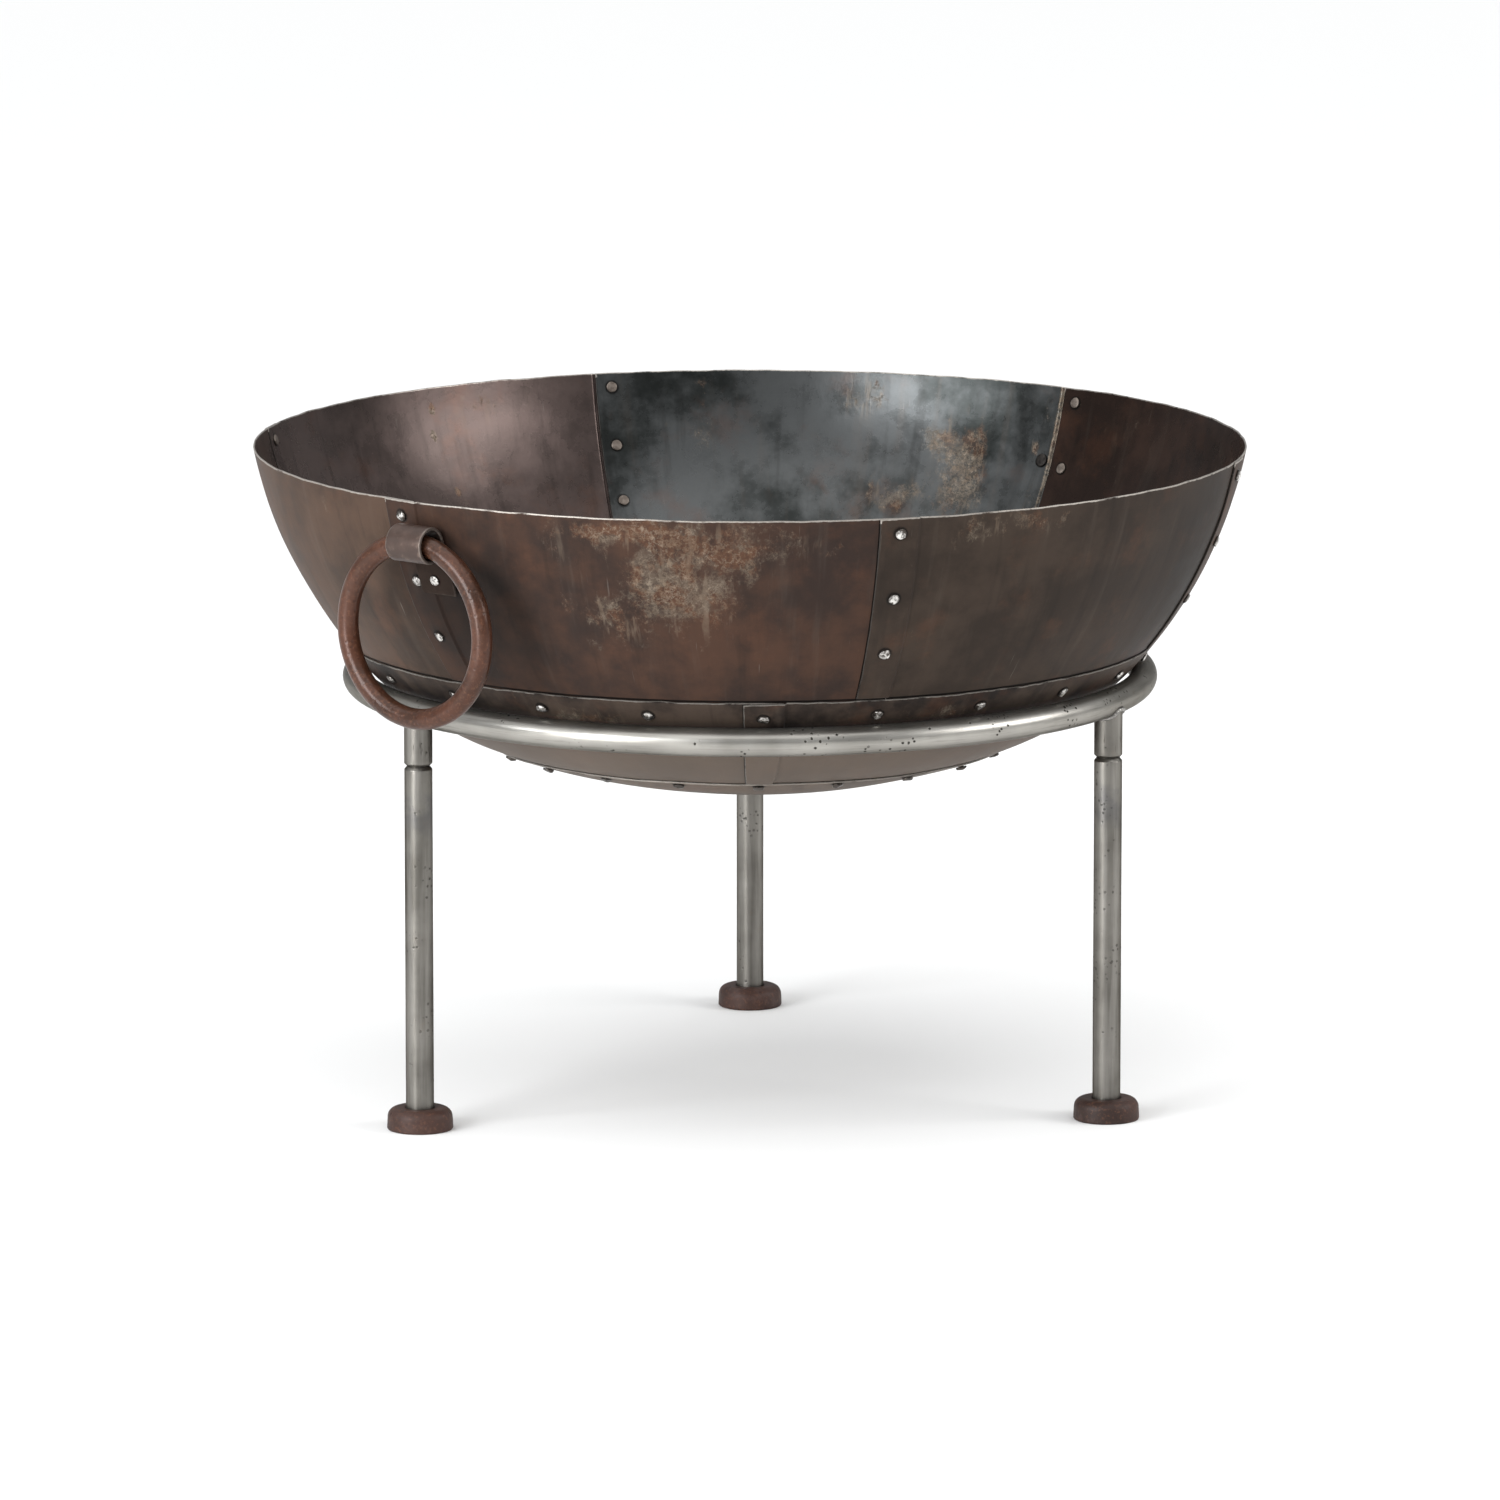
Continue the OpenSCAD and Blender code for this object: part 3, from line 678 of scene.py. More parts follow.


# ---- Bowl sheets ----------------------------------------------------------------------------

# Where the scale has corroded to tan, and painted shade where the strength is below 0, for each sheet: (side,
# azimuth in degrees, millimetres below the rim, half width and half height in millimetres, strength)
SCALE_PLACES = {
    "upper_panel_6": [
        ("out", -9, 62, 62, 48, 1.0), ("out", -3, 34, 62, 24, 0.8), ("out", -16, 96, 34, 30, 0.85),
        ("out", -22, 50, 26, 60, 0.55), ("out", -12, 14, 95, 15, 0.95), ("out", 7, 22, 40, 16, 0.35),
        ("out", -36, 22, 40, 22, 0.4), ("out", -20, 132, 14, 14, 0.7), ("out", -36, 110, 110, 130, -0.52),
    ],
    "upper_panel_1": [
        ("out", 31, 14, 60, 16, 0.60), ("out", 19, 80, 10, 60, 0.30), ("out", 50, 150, 40, 20, 0.25),
        ("out", 70, 100, 130, 140, -0.50),
    ],
    "upper_panel_2": [
        ("out", 95, 40, 80, 50, 0.55), ("in", 128, 40, 30, 50, 0.25), ("in", 100, 40, 60, 40, 0.3),
    ],
    "upper_panel_3": [
        ("in", 152, 92, 34, 44, 1.0), ("in", 155, 62, 26, 16, 0.9), ("in", 160, 118, 40, 20, 0.65),
        ("in", 141.2, 70, 7, 110, 0.65), ("in", 139.3, 40, 1.9, 70, 2.2), ("in", 141.9, 61, 5, 9, 1.9),
        ("in", 166, 24, 24, 22, 0.5), ("in", 186, 40, 14, 60, 0.35), ("in", 144, 60, 26, 140, -0.42),
        ("out", 165, 50, 90, 60, 0.7),
    ],
    "upper_panel_4": [
        ("in", 222, 21, 3.5, 5, 1.8), ("in", 222.5, 46, 3, 5, 1.6), ("in", 221, 102, 3, 4, 1.6),
        ("in", 215, 30, 50, 30, 0.25), ("out", 230, 60, 90, 60, 0.7),
    ],
    "upper_panel_5": [
        ("out", 320, 115, 90, 110, -0.48), ("in", 280, 60, 50, 50, 0.25), ("out", 272, 110, 70, 50, 0.35),
        ("out", 302, 20, 60, 20, 0.2),
    ],
    "middle_band_1": [("out", 30, 215, 60, 14, 0.6), ("in", 150, 260, 160, 60, 0.5)],
    "middle_band_2": [("out", 335, 215, 60, 14, 0.6), ("in", 220, 260, 160, 60, 0.5)],
    "bottom_dish": [("in", 0, 420, 160, 90, 0.7), ("out", 180, 420, 160, 90, 0.4)],
}


def fold_angle(angle):
    """An angle difference brought into -pi to pi."""
    return (angle + math.pi) % (2 * math.pi) - math.pi


def scale_and_shade_amount(node, side, azimuth, down):
    """How much corroded scale there is at each point, 0 to 1, or below 0 where painted shade lies instead."""
    amount = np.zeros(np.broadcast(azimuth, down).shape)
    painted_shade = np.zeros_like(amount)
    for where, centre, below, half_w, half_h, strength in SCALE_PLACES[node]:
        if where != side:
            continue
        across = fold_angle(azimuth - math.radians(centre)) * RIM_R / (half_w * MM)
        along = (down - below * MM) / (half_h * MM)
        here = strength * np.exp(-(across**2 + along**2) * 0.8)
        if strength > 0:
            amount = np.maximum(amount, here)
        else:
            painted_shade = np.minimum(painted_shade, here)
    return amount + painted_shade


def seam_rivet_frames():
    """(point, normal, grip, inner head radius) of each rivet in the upper course's seams."""
    grip = 2 * SHEET_T + LAP_GAP
    result = []
    for seam, azimuth in enumerate(UPPER_SEAMS[:6]):
        for z in BACK_SEAM_RIVET_Z if seam == BACK_SEAM else SEAM_RIVET_Z:
            place = wall_frame(UPPER, UPPER.turn_at(z), azimuth, SHEET_T + LAP_GAP)
            result.append((*place, grip, HEAD_R))
    return result


def girth_rivet_frames():
    """As above for the upper lap. Two of them go through a seam of the middle course as well."""
    result = []
    for i, angle in enumerate(full_turn(GIRTH_RIVETS)):
        extra = SHEET_T + LAP_GAP if i % (GIRTH_RIVETS // 2) == 0 else 0.0
        place = wall_frame(MIDDLE, GIRTH_TURN, MIDDLE_SEAMS[0] + angle, extra)
        result.append((*place, 2 * SHEET_T + GIRTH_GAP + extra, HEAD_R))
    return result


def dish_rivet_frames():
    """As above for the lower lap."""
    result = []
    for angle in full_turn(DISH_RIVETS):
        place = wall_frame(MIDDLE, DISH_LAP_TURN, MIDDLE_SEAMS[0] + angle, SHEET_T + DISH_GAP)
        result.append((*place, 2 * SHEET_T + DISH_GAP, HEAD_R))
    return result


def strap_rivet_frames():
    """As above for the rivet in each strap's tail."""
    grip = STRAP_T + STRAP_SEAT + SHEET_T + 0.75 * MM
    result = []
    for number, inner_r in ((2, OLD_HEAD_R), (1, HEAD_R)):
        origin, out, _, up = strap_frame(number)
        result.append((origin + out * STRAP_T - up * STRAP_RIVET_DOWN, out, grip, inner_r))
    return result


def wall_frame(arc, turn, azimuth, out):
    """(point, outward normal) on the beaten wall."""
    nominal = arc.point(turn, azimuth, out)
    normal = arc.point(turn, azimuth, out + 1) - nominal
    return nominal + normal * float(dents(nominal[None])[0]), normal


def strap_frame(number):
    """Origin, outward, sideways and upward directions of a strap's tail."""
    azimuth = STRAP_AZIMUTHS[number]
    origin, out = wall_frame(UPPER, STRAP_TURN, azimuth, STRAP_SEAT)
    side = compass(azimuth)[1]
    return origin, out, side, np.cross(out, side)


def nearest_rivet(points):
    """Distance of each point from the axis of the nearest rivet, whichever skin it is on."""
    best = np.full(points.shape[:-1], 1.0)
    for point, normal, grip, _ in sum(RIVETS.values(), []):
        away = points - (point - normal * grip / 2)
        deep = away @ normal
        across = np.sqrt(np.maximum((away**2).sum(-1) - deep**2, 0))
        best = np.where(np.abs(deep) < 0.02, np.minimum(best, across), best)
    return best


def edge_wave(distance, amount, seed):
    """A wandering offset along an edge, 0 to amount."""
    line = waves(np.asarray(distance)[..., None], 0.5, 0.16, 0.02, seed, terms=10)
    return amount * np.clip(0.5 + line, 0, 1)


def sheet_piece(node, arc, turn, azimuth, lift, edge, down, faces, material, around=None, shadow=None):
    """Makes a sheet from a grid of turns and azimuths: two beaten skins whose edges are rubbed round. Its
    pattern lies round and down the wall, or straight across the sheet if around is left out."""
    out = lift + dents(arc.point(turn, azimuth))
    eased = EDGE_EASE * (1 - smooth(edge, 0.0, EDGE_EASE_W))
    points, places, wear_and_shade_parts = [], [], []
    for side, flag, level in (("out", 0.0, out - eased), ("in", 1.0, out - SHEET_T + eased)):
        skin = arc.point(turn, azimuth, level)
        flat = (skin[..., 0], skin[..., 1]) if around is None else (around, down)
        scale = scale_and_shade_amount(node, side, azimuth, down)
        # The painted shadow along the laps goes into the outer skin as a negative scale amount
        if side == "out" and shadow is not None:
            scale = np.where(shadow > 0, -shadow, scale)
        points.append(skin.reshape(-1, 3))
        places.append(np.stack([*flat, np.full_like(down, flag)], -1).reshape(-1, 3))
        wear_and_shade_parts.append(np.stack([edge, nearest_rivet(skin), scale], -1).reshape(-1, 3))
    attributes = {"place": np.concatenate(places), "wear_and_shade": np.concatenate(wear_and_shade_parts)}
    points = np.concatenate(points)
    make_piece(node, "sheet", points, faces, "bowl", material, attributes, sharp=60)


def bowl_sheet(node, course, index, material):
    """One sheet of a course: its body, the step at its first seam and the strip lapped over its neighbour."""
    arc, top, strip_end = course.arc, course.top, course.strip_end
    seam, next_seam = course.seams[index], course.seams[index + 1]
    # Azimuths where the strip, the step and the body begin, where the sheet ends and the next one covers it
    first, last, covered = seam - course.lap_out, next_seam + course.lap_in, next_seam - course.lap_out
    step = seam + course.lap_in + JOGGLE_FROM
    body = step + JOGGLE_W
    per_metre = 1 / (arc.r + arc.radius * math.cos(top))
    strip_cols = steps(first, step, SHEET_GRID, unit=per_metre)
    joggle_cols = [step + JOGGLE_W * k / 5 for k in range(1, 5)] + [body]
    body_cols = steps(body + JOGGLE_FROM, last, SHEET_GRID, unit=per_metre)
    cols = with_line(strip_cols + joggle_cols + body_cols, covered, per_metre)
    rows_per_metre = 1 / arc.radius
    upper_rows = steps(top, strip_end, SHEET_GRID, unit=rows_per_metre)
    lower_rows = steps(strip_end, course.end, SHEET_GRID, unit=rows_per_metre)[1:]
    rows = with_line(upper_rows + lower_rows, course.covered_from, rows_per_metre)
    turn, azimuth = np.meshgrid(rows, cols, indexing="ij")
    radius = arc.r + arc.radius * np.cos(turn)
    cells = np.ones((len(rows) - 1, len(cols) - 1), bool)
    cells[np.argmin(np.abs(rows - strip_end)):, :np.argmin(np.abs(cols - step))] = False
    on_strip = turn <= strip_end + 1e-9

    # Distance from each edge of the sheet
    from_top = (turn - top) * arc.radius
    from_end = np.where(azimuth < step - 1e-9, strip_end - turn, course.end - turn) * arc.radius
    from_first = np.where(on_strip, azimuth - first, azimuth - step) * radius
    from_last = (last - azimuth) * radius
    edge = np.abs([from_top, from_end, from_first, from_last]).min(axis=0)

    # The hand-cut edges wander a little
    around = azimuth * RIM_R
    sag = 0.2 * MM + edge_wave(around, course.top_wave, course.seed)
    sag = sag * (1 - smooth(from_top, 0.0, SAG_REACH))
    lean = edge_wave(from_top, EDGE_LEAN, course.seed + 1) - EDGE_LEAN / 2
    lean_first, lean_last = (
        lean * (1 - smooth(np.abs(distance), 0.0, LEAN_REACH)) * smooth(from_top, 0.0, CORNER_REACH)
        for distance in (from_first, from_last)
    )
    turn = turn + sag / arc.radius
    azimuth = azimuth + (np.abs(lean_first) - lean_last) / radius

    # The strip stands out over its neighbour; painted shadow lies along the edges of the sheets over this one
    lift = np.where(on_strip, (SHEET_T + LAP_GAP) * (1 - smooth(azimuth, step, body)), 0.0)
    below_edge = np.abs((turn - course.covered_from) * arc.radius - LAP_SHADOW_UNDER)
    past_edge = np.abs((azimuth - covered) * radius - LAP_SHADOW_UNDER)
    shadow = 1 - smooth(np.minimum(below_edge, past_edge), LAP_SHADOW / 2, LAP_SHADOW)
    down = course.down + from_top
    sheet_piece(node, arc, turn, azimuth, lift, edge, down, shell_faces(cells), material, around, shadow)


def dish_sheet(material, rim_down):
    """The pressed bottom, whose edge lies outside the middle course."""
    edge_turn = math.acos(DISH_EDGE_R / DISH_ARC_R)
    rows = steps(edge_turn, math.pi / 2, 5 * MM, unit=1 / DISH.radius)
    cols = full_turn(240)
    turn, azimuth = np.meshgrid(rows, cols, indexing="ij")
    from_top = (turn - edge_turn) * DISH.radius
    wave = edge_wave(np.cos(azimuth) * DISH_EDGE_R, 0.8 * MM, 31)
    wave = wave + edge_wave(np.sin(azimuth) * DISH_EDGE_R, 0.8 * MM, 32)
    turn = turn + wave * (1 - smooth(from_top, 0.0, CORNER_REACH)) / DISH.radius
    faces = shell_faces(np.ones((len(rows) - 1, len(cols)), bool), wrap=True)
    # The last row is the pole: its points merge into one on each skin, so the wall there is left out
    skin_points, pole = len(rows) * len(cols), (len(rows) - 1) * len(cols)
    faces = [face for face in faces if min(i % skin_points for i in face) < pole]
    sheet_piece("bottom_dish", DISH, turn, azimuth, 0.0, from_top, rim_down + from_top, faces, material)


# Colours of the sheets: outside light and dark, inside light and dark
UPPER_TONES = [
    ((0.042, 0.030, 0.023), (0.026, 0.019, 0.015), (0.050, 0.036, 0.029), (0.030, 0.024, 0.020)),
    ((0.056, 0.033, 0.023), (0.030, 0.020, 0.015), (0.050, 0.029, 0.022), (0.026, 0.017, 0.014)),
    ((0.054, 0.038, 0.030), (0.030, 0.023, 0.020), (0.082, 0.085, 0.085), (0.022, 0.024, 0.023)),
    ((0.060, 0.039, 0.030), (0.034, 0.024, 0.019), (0.088, 0.065, 0.059), (0.056, 0.042, 0.038)),
    ((0.066, 0.041, 0.029), (0.036, 0.024, 0.018), (0.076, 0.052, 0.043), (0.042, 0.031, 0.027)),
    ((0.054, 0.029, 0.020), (0.027, 0.018, 0.015), (0.060, 0.042, 0.034), (0.034, 0.026, 0.022)),
]
BAND_TONES = ((0.050, 0.036, 0.028), (0.014, 0.011, 0.010), (0.060, 0.044, 0.036), (0.034, 0.026, 0.022))
DISH_TONES = ((0.112, 0.084, 0.064), (0.070, 0.055, 0.044), (0.060, 0.044, 0.036), (0.034, 0.026, 0.022))


def bowl_sheets():
    courses = (
        (UPPER_COURSE, "upper_panel_", UPPER_TONES, 0.0, 0.06),
        (MIDDLE_COURSE, "middle_band_", [BAND_TONES] * 2, 31, 0.30),
    )
    for course, prefix, tones, seed, edge_wear in courses:
        for i, sheet_tones in enumerate(tones):
            node = f"{prefix}{i + 1}"
            material = sheet_material(node + "_finish", *sheet_tones, seed + 3.7 * i, edge_wear)
            bowl_sheet(node, course, i, material)
    dish_down = MIDDLE_COURSE.down + (DISH_LAP_TURN - MIDDLE_COURSE.top) * MIDDLE_ARC_R
    dish_sheet(sheet_material("bottom_dish_finish", *DISH_TONES, seed=47), dish_down)


# ---- Rivets ---------------------------------------------------------------------------------

def hammered_rivet(point, normal, grip, inner_r, rng):
    """Points, faces and head attribute of one rivet: a beaten outer head, its shank and a flat inner head."""
    segments = 28
    gap = 0.05 * MM
    low = -grip - gap
    head_r = HEAD_R * rng.uniform(0.95, 1.0)
    head_h = HEAD_H * rng.uniform(0.88, 0.99)
    profile = [(inner_r * r, low - depth * MM) for r, depth in INNER_HEAD]
    profile += [(SHANK_R, low), (SHANK_R, gap), (head_r * 0.97, gap)]
    profile += [(head_r * r, gap + (head_h - gap) * z) for r, z in DOME]
    # Each hammer blow cuts the dome with a leaning plane, and the blows leave the head a little out of round
    blows = []
    for _ in range(6):
        blows.append((rng.uniform(0, 2 * math.pi), rng.uniform(0.10, 0.48), rng.uniform(0.84, 1.04)))
    wobble = [(k, rng.uniform(0, 2 * math.pi), rng.uniform(0.005, 0.022)) for k in (2, 3, 5)]
    side = np.cross(normal, [0.0, 0.0, 1.0])
    side /= np.linalg.norm(side)
    other = np.cross(normal, side)
    points, heads = [], []
    for r, z in profile:
        inner = 1.0 if z <= low else 0.0
        for angle in full_turn(segments):
            lean = 1 - 0.04 + sum(a * math.sin(k * angle + p) for k, p, a in wobble)
            radius = r * lean if r > SHANK_R else r
            height = z
            if z > gap:
                for blow, slope, reach in blows:
                    cut = head_h * reach - slope * radius * math.cos(angle - blow)
                    height = min(height, max(cut, gap + 0.15 * MM))
            points.append(point + normal * height + swung(side, other, angle) * radius)
            heads.append((low - z if inner else max(height, 0.0), radius, inner))
    faces = grid_faces(len(profile), segments, wrap_cols=True)
    # The middle of each end
    last = len(points) - segments
    points += [np.mean(points[last:], axis=0), np.mean(points[:segments], axis=0)]
    heads += [(head_h, 0.0, 0.0), (1.5 * MM, 0.0, 1.0)]
    for s in range(segments):
        following = (s + 1) % segments
        faces += [(last + s, last + following, last + segments), (following, s, last + segments + 1)]
    return points, faces, heads


def rivet_group(node, material, seed):
    rng = random.Random(seed)
    points, faces, heads = [], [], []
    for frames in RIVETS[node]:
        new_points, new_faces, new_heads = hammered_rivet(*frames, rng)
        faces += [tuple(len(points) + i for i in face) for face in new_faces]
        points += new_points
        heads += new_heads
    make_piece(node, "hammered", points, faces, "bowl", material, {"head": heads}, sharp=35)


# ---- Straps and ring handles ----------------------------------------------------------------

def strap_path():
    """Centreline of a strap as (out, up) points, from the tail's lower end round the loop to its free end."""
    path = [(STRAP_T / 2, -TAIL_DOWN + TAIL_DOWN * k / 8) for k in range(8)]
    path += [(STRAP_T / 2, LOOP_UP * k / 10) for k in range(10)]
    turns = 52
    for k in range(turns + 1):
        angle = math.pi - LOOP_SWEEP * k / turns
        path.append((STRAP_T / 2 + LOOP_R + LOOP_R * math.cos(angle), LOOP_UP + LOOP_R * math.sin(angle)))
    return np.array(path)


def strap(number, material):
    """A flat bar curled into a loop: rounded edges, slightly uneven width, thinned free end."""
    origin, out, side, up = strap_frame(number)
    path = strap_path()
    tangents = np.gradient(path, axis=0)
    tangents /= np.linalg.norm(tangents, axis=1)[:, None]
    normals = np.stack([tangents[:, 1], -tangents[:, 0]], -1)
    half_w, half_t = STRAP_W / 2, STRAP_T / 2
    corners = [(-half_w, -half_t), (half_w, -half_t), (half_w, half_t), (-half_w, half_t)]
    section = filled(rounded(corners, 1.1 * MM), 4 * MM)
    inset = np.minimum(half_w - np.abs(section[:, 0]), 1.0)
    along = np.concatenate([[0], np.cumsum(np.linalg.norm(np.diff(path, axis=0), axis=1))])
    total = along[-1]
    points, wear_and_shade = [], []
    for middle, normal, here in zip(path, normals, along):
        from_end = min(here, total - here)
        end_round = 1 - 0.35 * (1 - smooth(from_end, 0.0, 1.2 * MM))
        uneven = 0.020 * (0.5 + 0.5 * math.sin(here * 90 + number))
        width = 1 - uneven - 0.015 * (1 - smooth(from_end, 0, 3 * MM))
        on_tail = 1 - float(smooth(here, TAIL_DOWN, TAIL_DOWN + LOOP_UP * 0.8))
        thick = (1 - 0.22 * smooth(here, total - 0.02, total)) * end_round
        for (across, deep), near in zip(section, inset):
            place = middle + normal * deep * thick
            points.append(origin + out * place[0] + up * place[1] + side * across * width)
            wear_and_shade.append((min(near, from_end), on_tail, 0))
    rows, cols = len(path), len(section)
    faces = grid_faces(rows, cols, wrap_cols=True)
    faces += [tuple(range(cols)), tuple(reversed(range((rows - 1) * cols, rows * cols)))]
    node = f"handle_strap_{number}"
    make_piece(node, "bar", points, faces, "bowl", material, {"wear_and_shade": wear_and_shade}, sharp=40)


def ring_handle(number, material):
    """A ring forged from round bar, a little uneven, with the scarf of its weld."""
    node = f"ring_handle_{number}"
    low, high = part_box(node)
    centre = np.array((low + high) / 2)
    joint = next(j for j in frame["joints"] if j["name"] == f"handle_{number}_swing")
    side = np.array(joint["axis"], float)
    up = np.array([0.0, 0.0, 1.0])
    out = np.cross(side, up)
    ring_r = (high.z - low.z) / 2 - ROD_R
    rows, cols = 200, 40
    scarf = math.radians(205 + 130 * number)
    points = []
    for angle in full_turn(rows):
        direction = swung(up, side, angle)
        middle = centre + direction * ring_r
        for turn in full_turn(cols):
            around = swung(direction, out, turn)
            nominal = middle + around * ROD_R
            lump = noise.noise(Vector(nominal) * 38) * 0.35 + noise.noise(Vector(nominal) * 110) * 0.16
            from_scarf = fold_angle(angle - scarf + 0.12 * math.sin(turn)) * ring_r
            depth = (0.38 - lump) * 0.55 * MM + 0.35 * MM * math.exp(-((from_scarf / 0.006) ** 2))
            points.append(nominal - around * max(depth, 0.0))
    faces = grid_faces(rows, cols, True, True)
    make_piece(node, "forged", points, faces, f"handle_{number}", material)


# ---- Stand ----------------------------------------------------------------------------------

def lathe(outline, centre, closed, segments=72, uneven=None):
    """Points and faces of an outline of (r, z) points turned round a vertical axis."""
    points = []
    for r, z in outline:
        for angle in full_turn(segments):
            reach = r if uneven is None else r - uneven(r, z, angle)
            points.append(centre + np.array([reach * math.cos(angle), reach * math.sin(angle), z]))
    faces = grid_faces(len(outline), segments, wrap_rows=closed, wrap_cols=True)
    if not closed:
        last = len(points) - segments
        faces += [tuple(reversed(range(segments))), tuple(range(last, len(points)))]
    return points, faces


def tube_place(outline, segments, top, radius=TUBE_R):
    """The place attribute of a lathe: along the tube, round it, and distance below the top."""
    return [(z, radius * angle, top - z) for r, z in outline for angle in full_turn(segments)]


def leg(number, material, spigot_finish):
    """A drawn tube with a bevelled top, and the turned plug that is fixed in it."""
    centre = leg_centre(number)
    body = f"leg_{number}"
    segments = 72
    outline = rounded([
        (BORE_R, LEG_BOTTOM), (TUBE_R, LEG_BOTTOM), (TUBE_R, LEG_TOP - 3 * MM),
        (TUBE_R - 2.5 * MM, LEG_TOP), (BORE_R, LEG_TOP),
    ], 0.5 * MM)
    outline = filled(outline, 8 * MM)

    def uneven(r, z, angle):
        if r < TUBE_R - 3 * MM:
            return 0.0
        nominal = Vector((math.cos(angle) * 0.7, math.sin(angle) * 0.7, z * 14 + number * 9))
        return 0.09 * MM * (1 + noise.noise(nominal))

    points, faces = lathe(outline, centre, True, segments, uneven)
    place = {"place": tube_place(outline, segments, LEG_TOP)}
    make_piece(f"leg_tube_{number}", "drawn", points, faces, body, material, place, sharp=35)
    radius, low, high = (SPIGOT_HIGH.x - SPIGOT_LOW.x) / 2, SPIGOT_LOW.z, SPIGOT_HIGH.z
    plug = rounded([
        (AXIS_R, low), (radius, low), (radius, high - 1.5 * MM), (radius - 1.5 * MM, high), (AXIS_R, high),
    ], 0.4 * MM, closed=False)
    plug = filled(plug, 8 * MM, closed=False)
    points, faces = lathe(plug, centre, False, segments)
    place = {"place": tube_place(plug, segments, high, radius)}
    node = f"leg_spigot_{number}"
    make_piece(node, "turned", points, faces, body, spigot_finish, place, sharp=35)


def foot(number, material):
    """A cast puck with a rounded shoulder and a blind hole for the leg."""
    shoulder, level = FOOT_R - 0.5 * MM - FOOT_ROUND, FOOT_H - FOOT_ROUND
    hole_r = TUBE_R + 0.05 * MM
    outline = [(AXIS_R, 0.0), (FOOT_R - 1.2 * MM, 0.0), (FOOT_R, 1.2 * MM)]
    for k in range(9):
        angle = math.pi / 2 * k / 8
        outline.append((shoulder + FOOT_ROUND * math.cos(angle), level + FOOT_ROUND * math.sin(angle)))
    outline += [(TUBE_R + 1.0 * MM, FOOT_H - 0.2 * MM), (hole_r, FOOT_H - 1.2 * MM)]
    outline += [(hole_r, FOOT_FLOOR), (AXIS_R, FOOT_FLOOR)]
    outline = filled(rounded(outline, 0.6 * MM, closed=False, parts=3), 2.2 * MM, closed=False)

    def uneven(r, z, angle):
        if r < TUBE_R + 1.5 * MM or z < 0.2 * MM:
            return 0.0
        nominal = Vector((r * math.cos(angle) * 60, r * math.sin(angle) * 60, z * 60 + number * 7))
        return 0.5 * MM * (0.5 + 0.5 * noise.noise(nominal) + 0.25 * noise.noise(nominal * 3))

    points, faces = lathe(outline, leg_centre(number), False, 96, uneven)
    make_piece(f"foot_{number}", "cast", points, faces, f"leg_{number}", material, sharp=50)


def stand_ring(material):
    rows, cols = 480, 44
    points, place = [], []
    for azimuth in full_turn(rows):
        outward = compass(azimuth)[0]
        for turn in full_turn(cols):
            radius = TUBE_R - 0.10 * MM * (1 + noise.noise(Vector((*(outward[:2] * 2.2), turn * 0.4))))
            section = outward * (STAND_R + radius * math.cos(turn))
            points.append(section + at_height(STAND_Z + radius * math.sin(turn)))
            # The grain is mirrored half way round, so that it has no seam
            place.append((abs(fold_angle(azimuth)) * STAND_R, TUBE_R * abs(fold_angle(turn)), 1.0))
    faces = grid_faces(rows, cols, True, True)
    make_piece("stand_ring", "rolled", points, faces, "stand", material, {"place": place})


def saddle_z(angle, radius, clearance):
    """Height at which a vertical tube's wall meets the ring's underside, at an angle from outwards."""
    x, y = STAND_R + radius * math.cos(angle), radius * math.sin(angle)
    off = math.hypot(x, y) - STAND_R
    rise = math.sqrt(max((TUBE_R + clearance) ** 2 - off**2, 0.0))
    return STAND_Z - max(rise, SADDLE_BELOW)


def leg_socket(number, material):
    """A short tube with a bevelled lower end, coped at the top to fit under the ring."""
    out, side = compass(LEG_AZIMUTHS[number])
    centre = leg_centre(number)
    segments = 80
    bevel = 2.2 * MM
    base = SOCKET_LOW + 6 * MM
    low_outline = rounded([
        (BORE_R, base), (BORE_R, SOCKET_LOW), (TUBE_R - bevel, SOCKET_LOW), (TUBE_R, SOCKET_LOW + bevel),
        (TUBE_R, base),
    ], 0.4 * MM, closed=False)
    # Radius and height of each row, and how far it is drawn up towards the ring
    rows = [(r, z, 0.0) for r, z in low_outline]
    rows += [(TUBE_R, base, k / 12) for k in range(1, 13)]
    rows += [(BORE_R, base, 1 - k / 6) for k in range(0, 6)]
    points, place = [], []
    for radius, start, share in rows:
        for angle in full_turn(segments):
            height = start + (saddle_z(angle, radius, 0.05 * MM) - start) * share
            points.append(centre + swung(out, side, angle) * radius + at_height(height))
            place.append((height, TUBE_R * abs(fold_angle(angle)), STAND_Z - height))
    faces = grid_faces(len(rows), segments, True, True)
    node = f"leg_socket_{number}"
    make_piece(node, "coped", points, faces, "stand", material, {"place": place}, sharp=35)


def socket_welds(material):
    """A low fillet bead with soft ripples round each socket, where it meets the ring."""
    rows, cols = 120, 14
    points, faces = [], []
    for number, azimuth in LEG_AZIMUTHS.items():
        out, side = compass(azimuth)
        centre = leg_centre(number)

        def corner(angle):
            height = saddle_z(angle, TUBE_R - 0.2 * MM, 0.2 * MM)
            return centre + swung(out, side, angle) * (TUBE_R + 0.35 * MM) + at_height(height)

        first = len(points)
        for angle in full_turn(rows):
            ahead = corner(angle + 0.02) - corner(angle - 0.02)
            ahead /= np.linalg.norm(ahead)
            outward = swung(out, side, angle)
            outward -= ahead * (outward @ ahead)
            outward /= np.linalg.norm(outward)
            across = np.cross(ahead, outward)
            ripple = 0.16 * MM * math.sin(angle * 26 + number) + 0.2 * MM * math.sin(angle * 5 + 2 * number)
            for turn in full_turn(cols):
                points.append(corner(angle) + swung(outward, across, turn) * (BEAD_R + ripple))
        faces += grid_faces(rows, cols, True, True, first)
    make_piece("socket_welds", "beads", points, faces, "stand", material, sharp=60)


# ---- Stage ----------------------------------------------------------------------------------

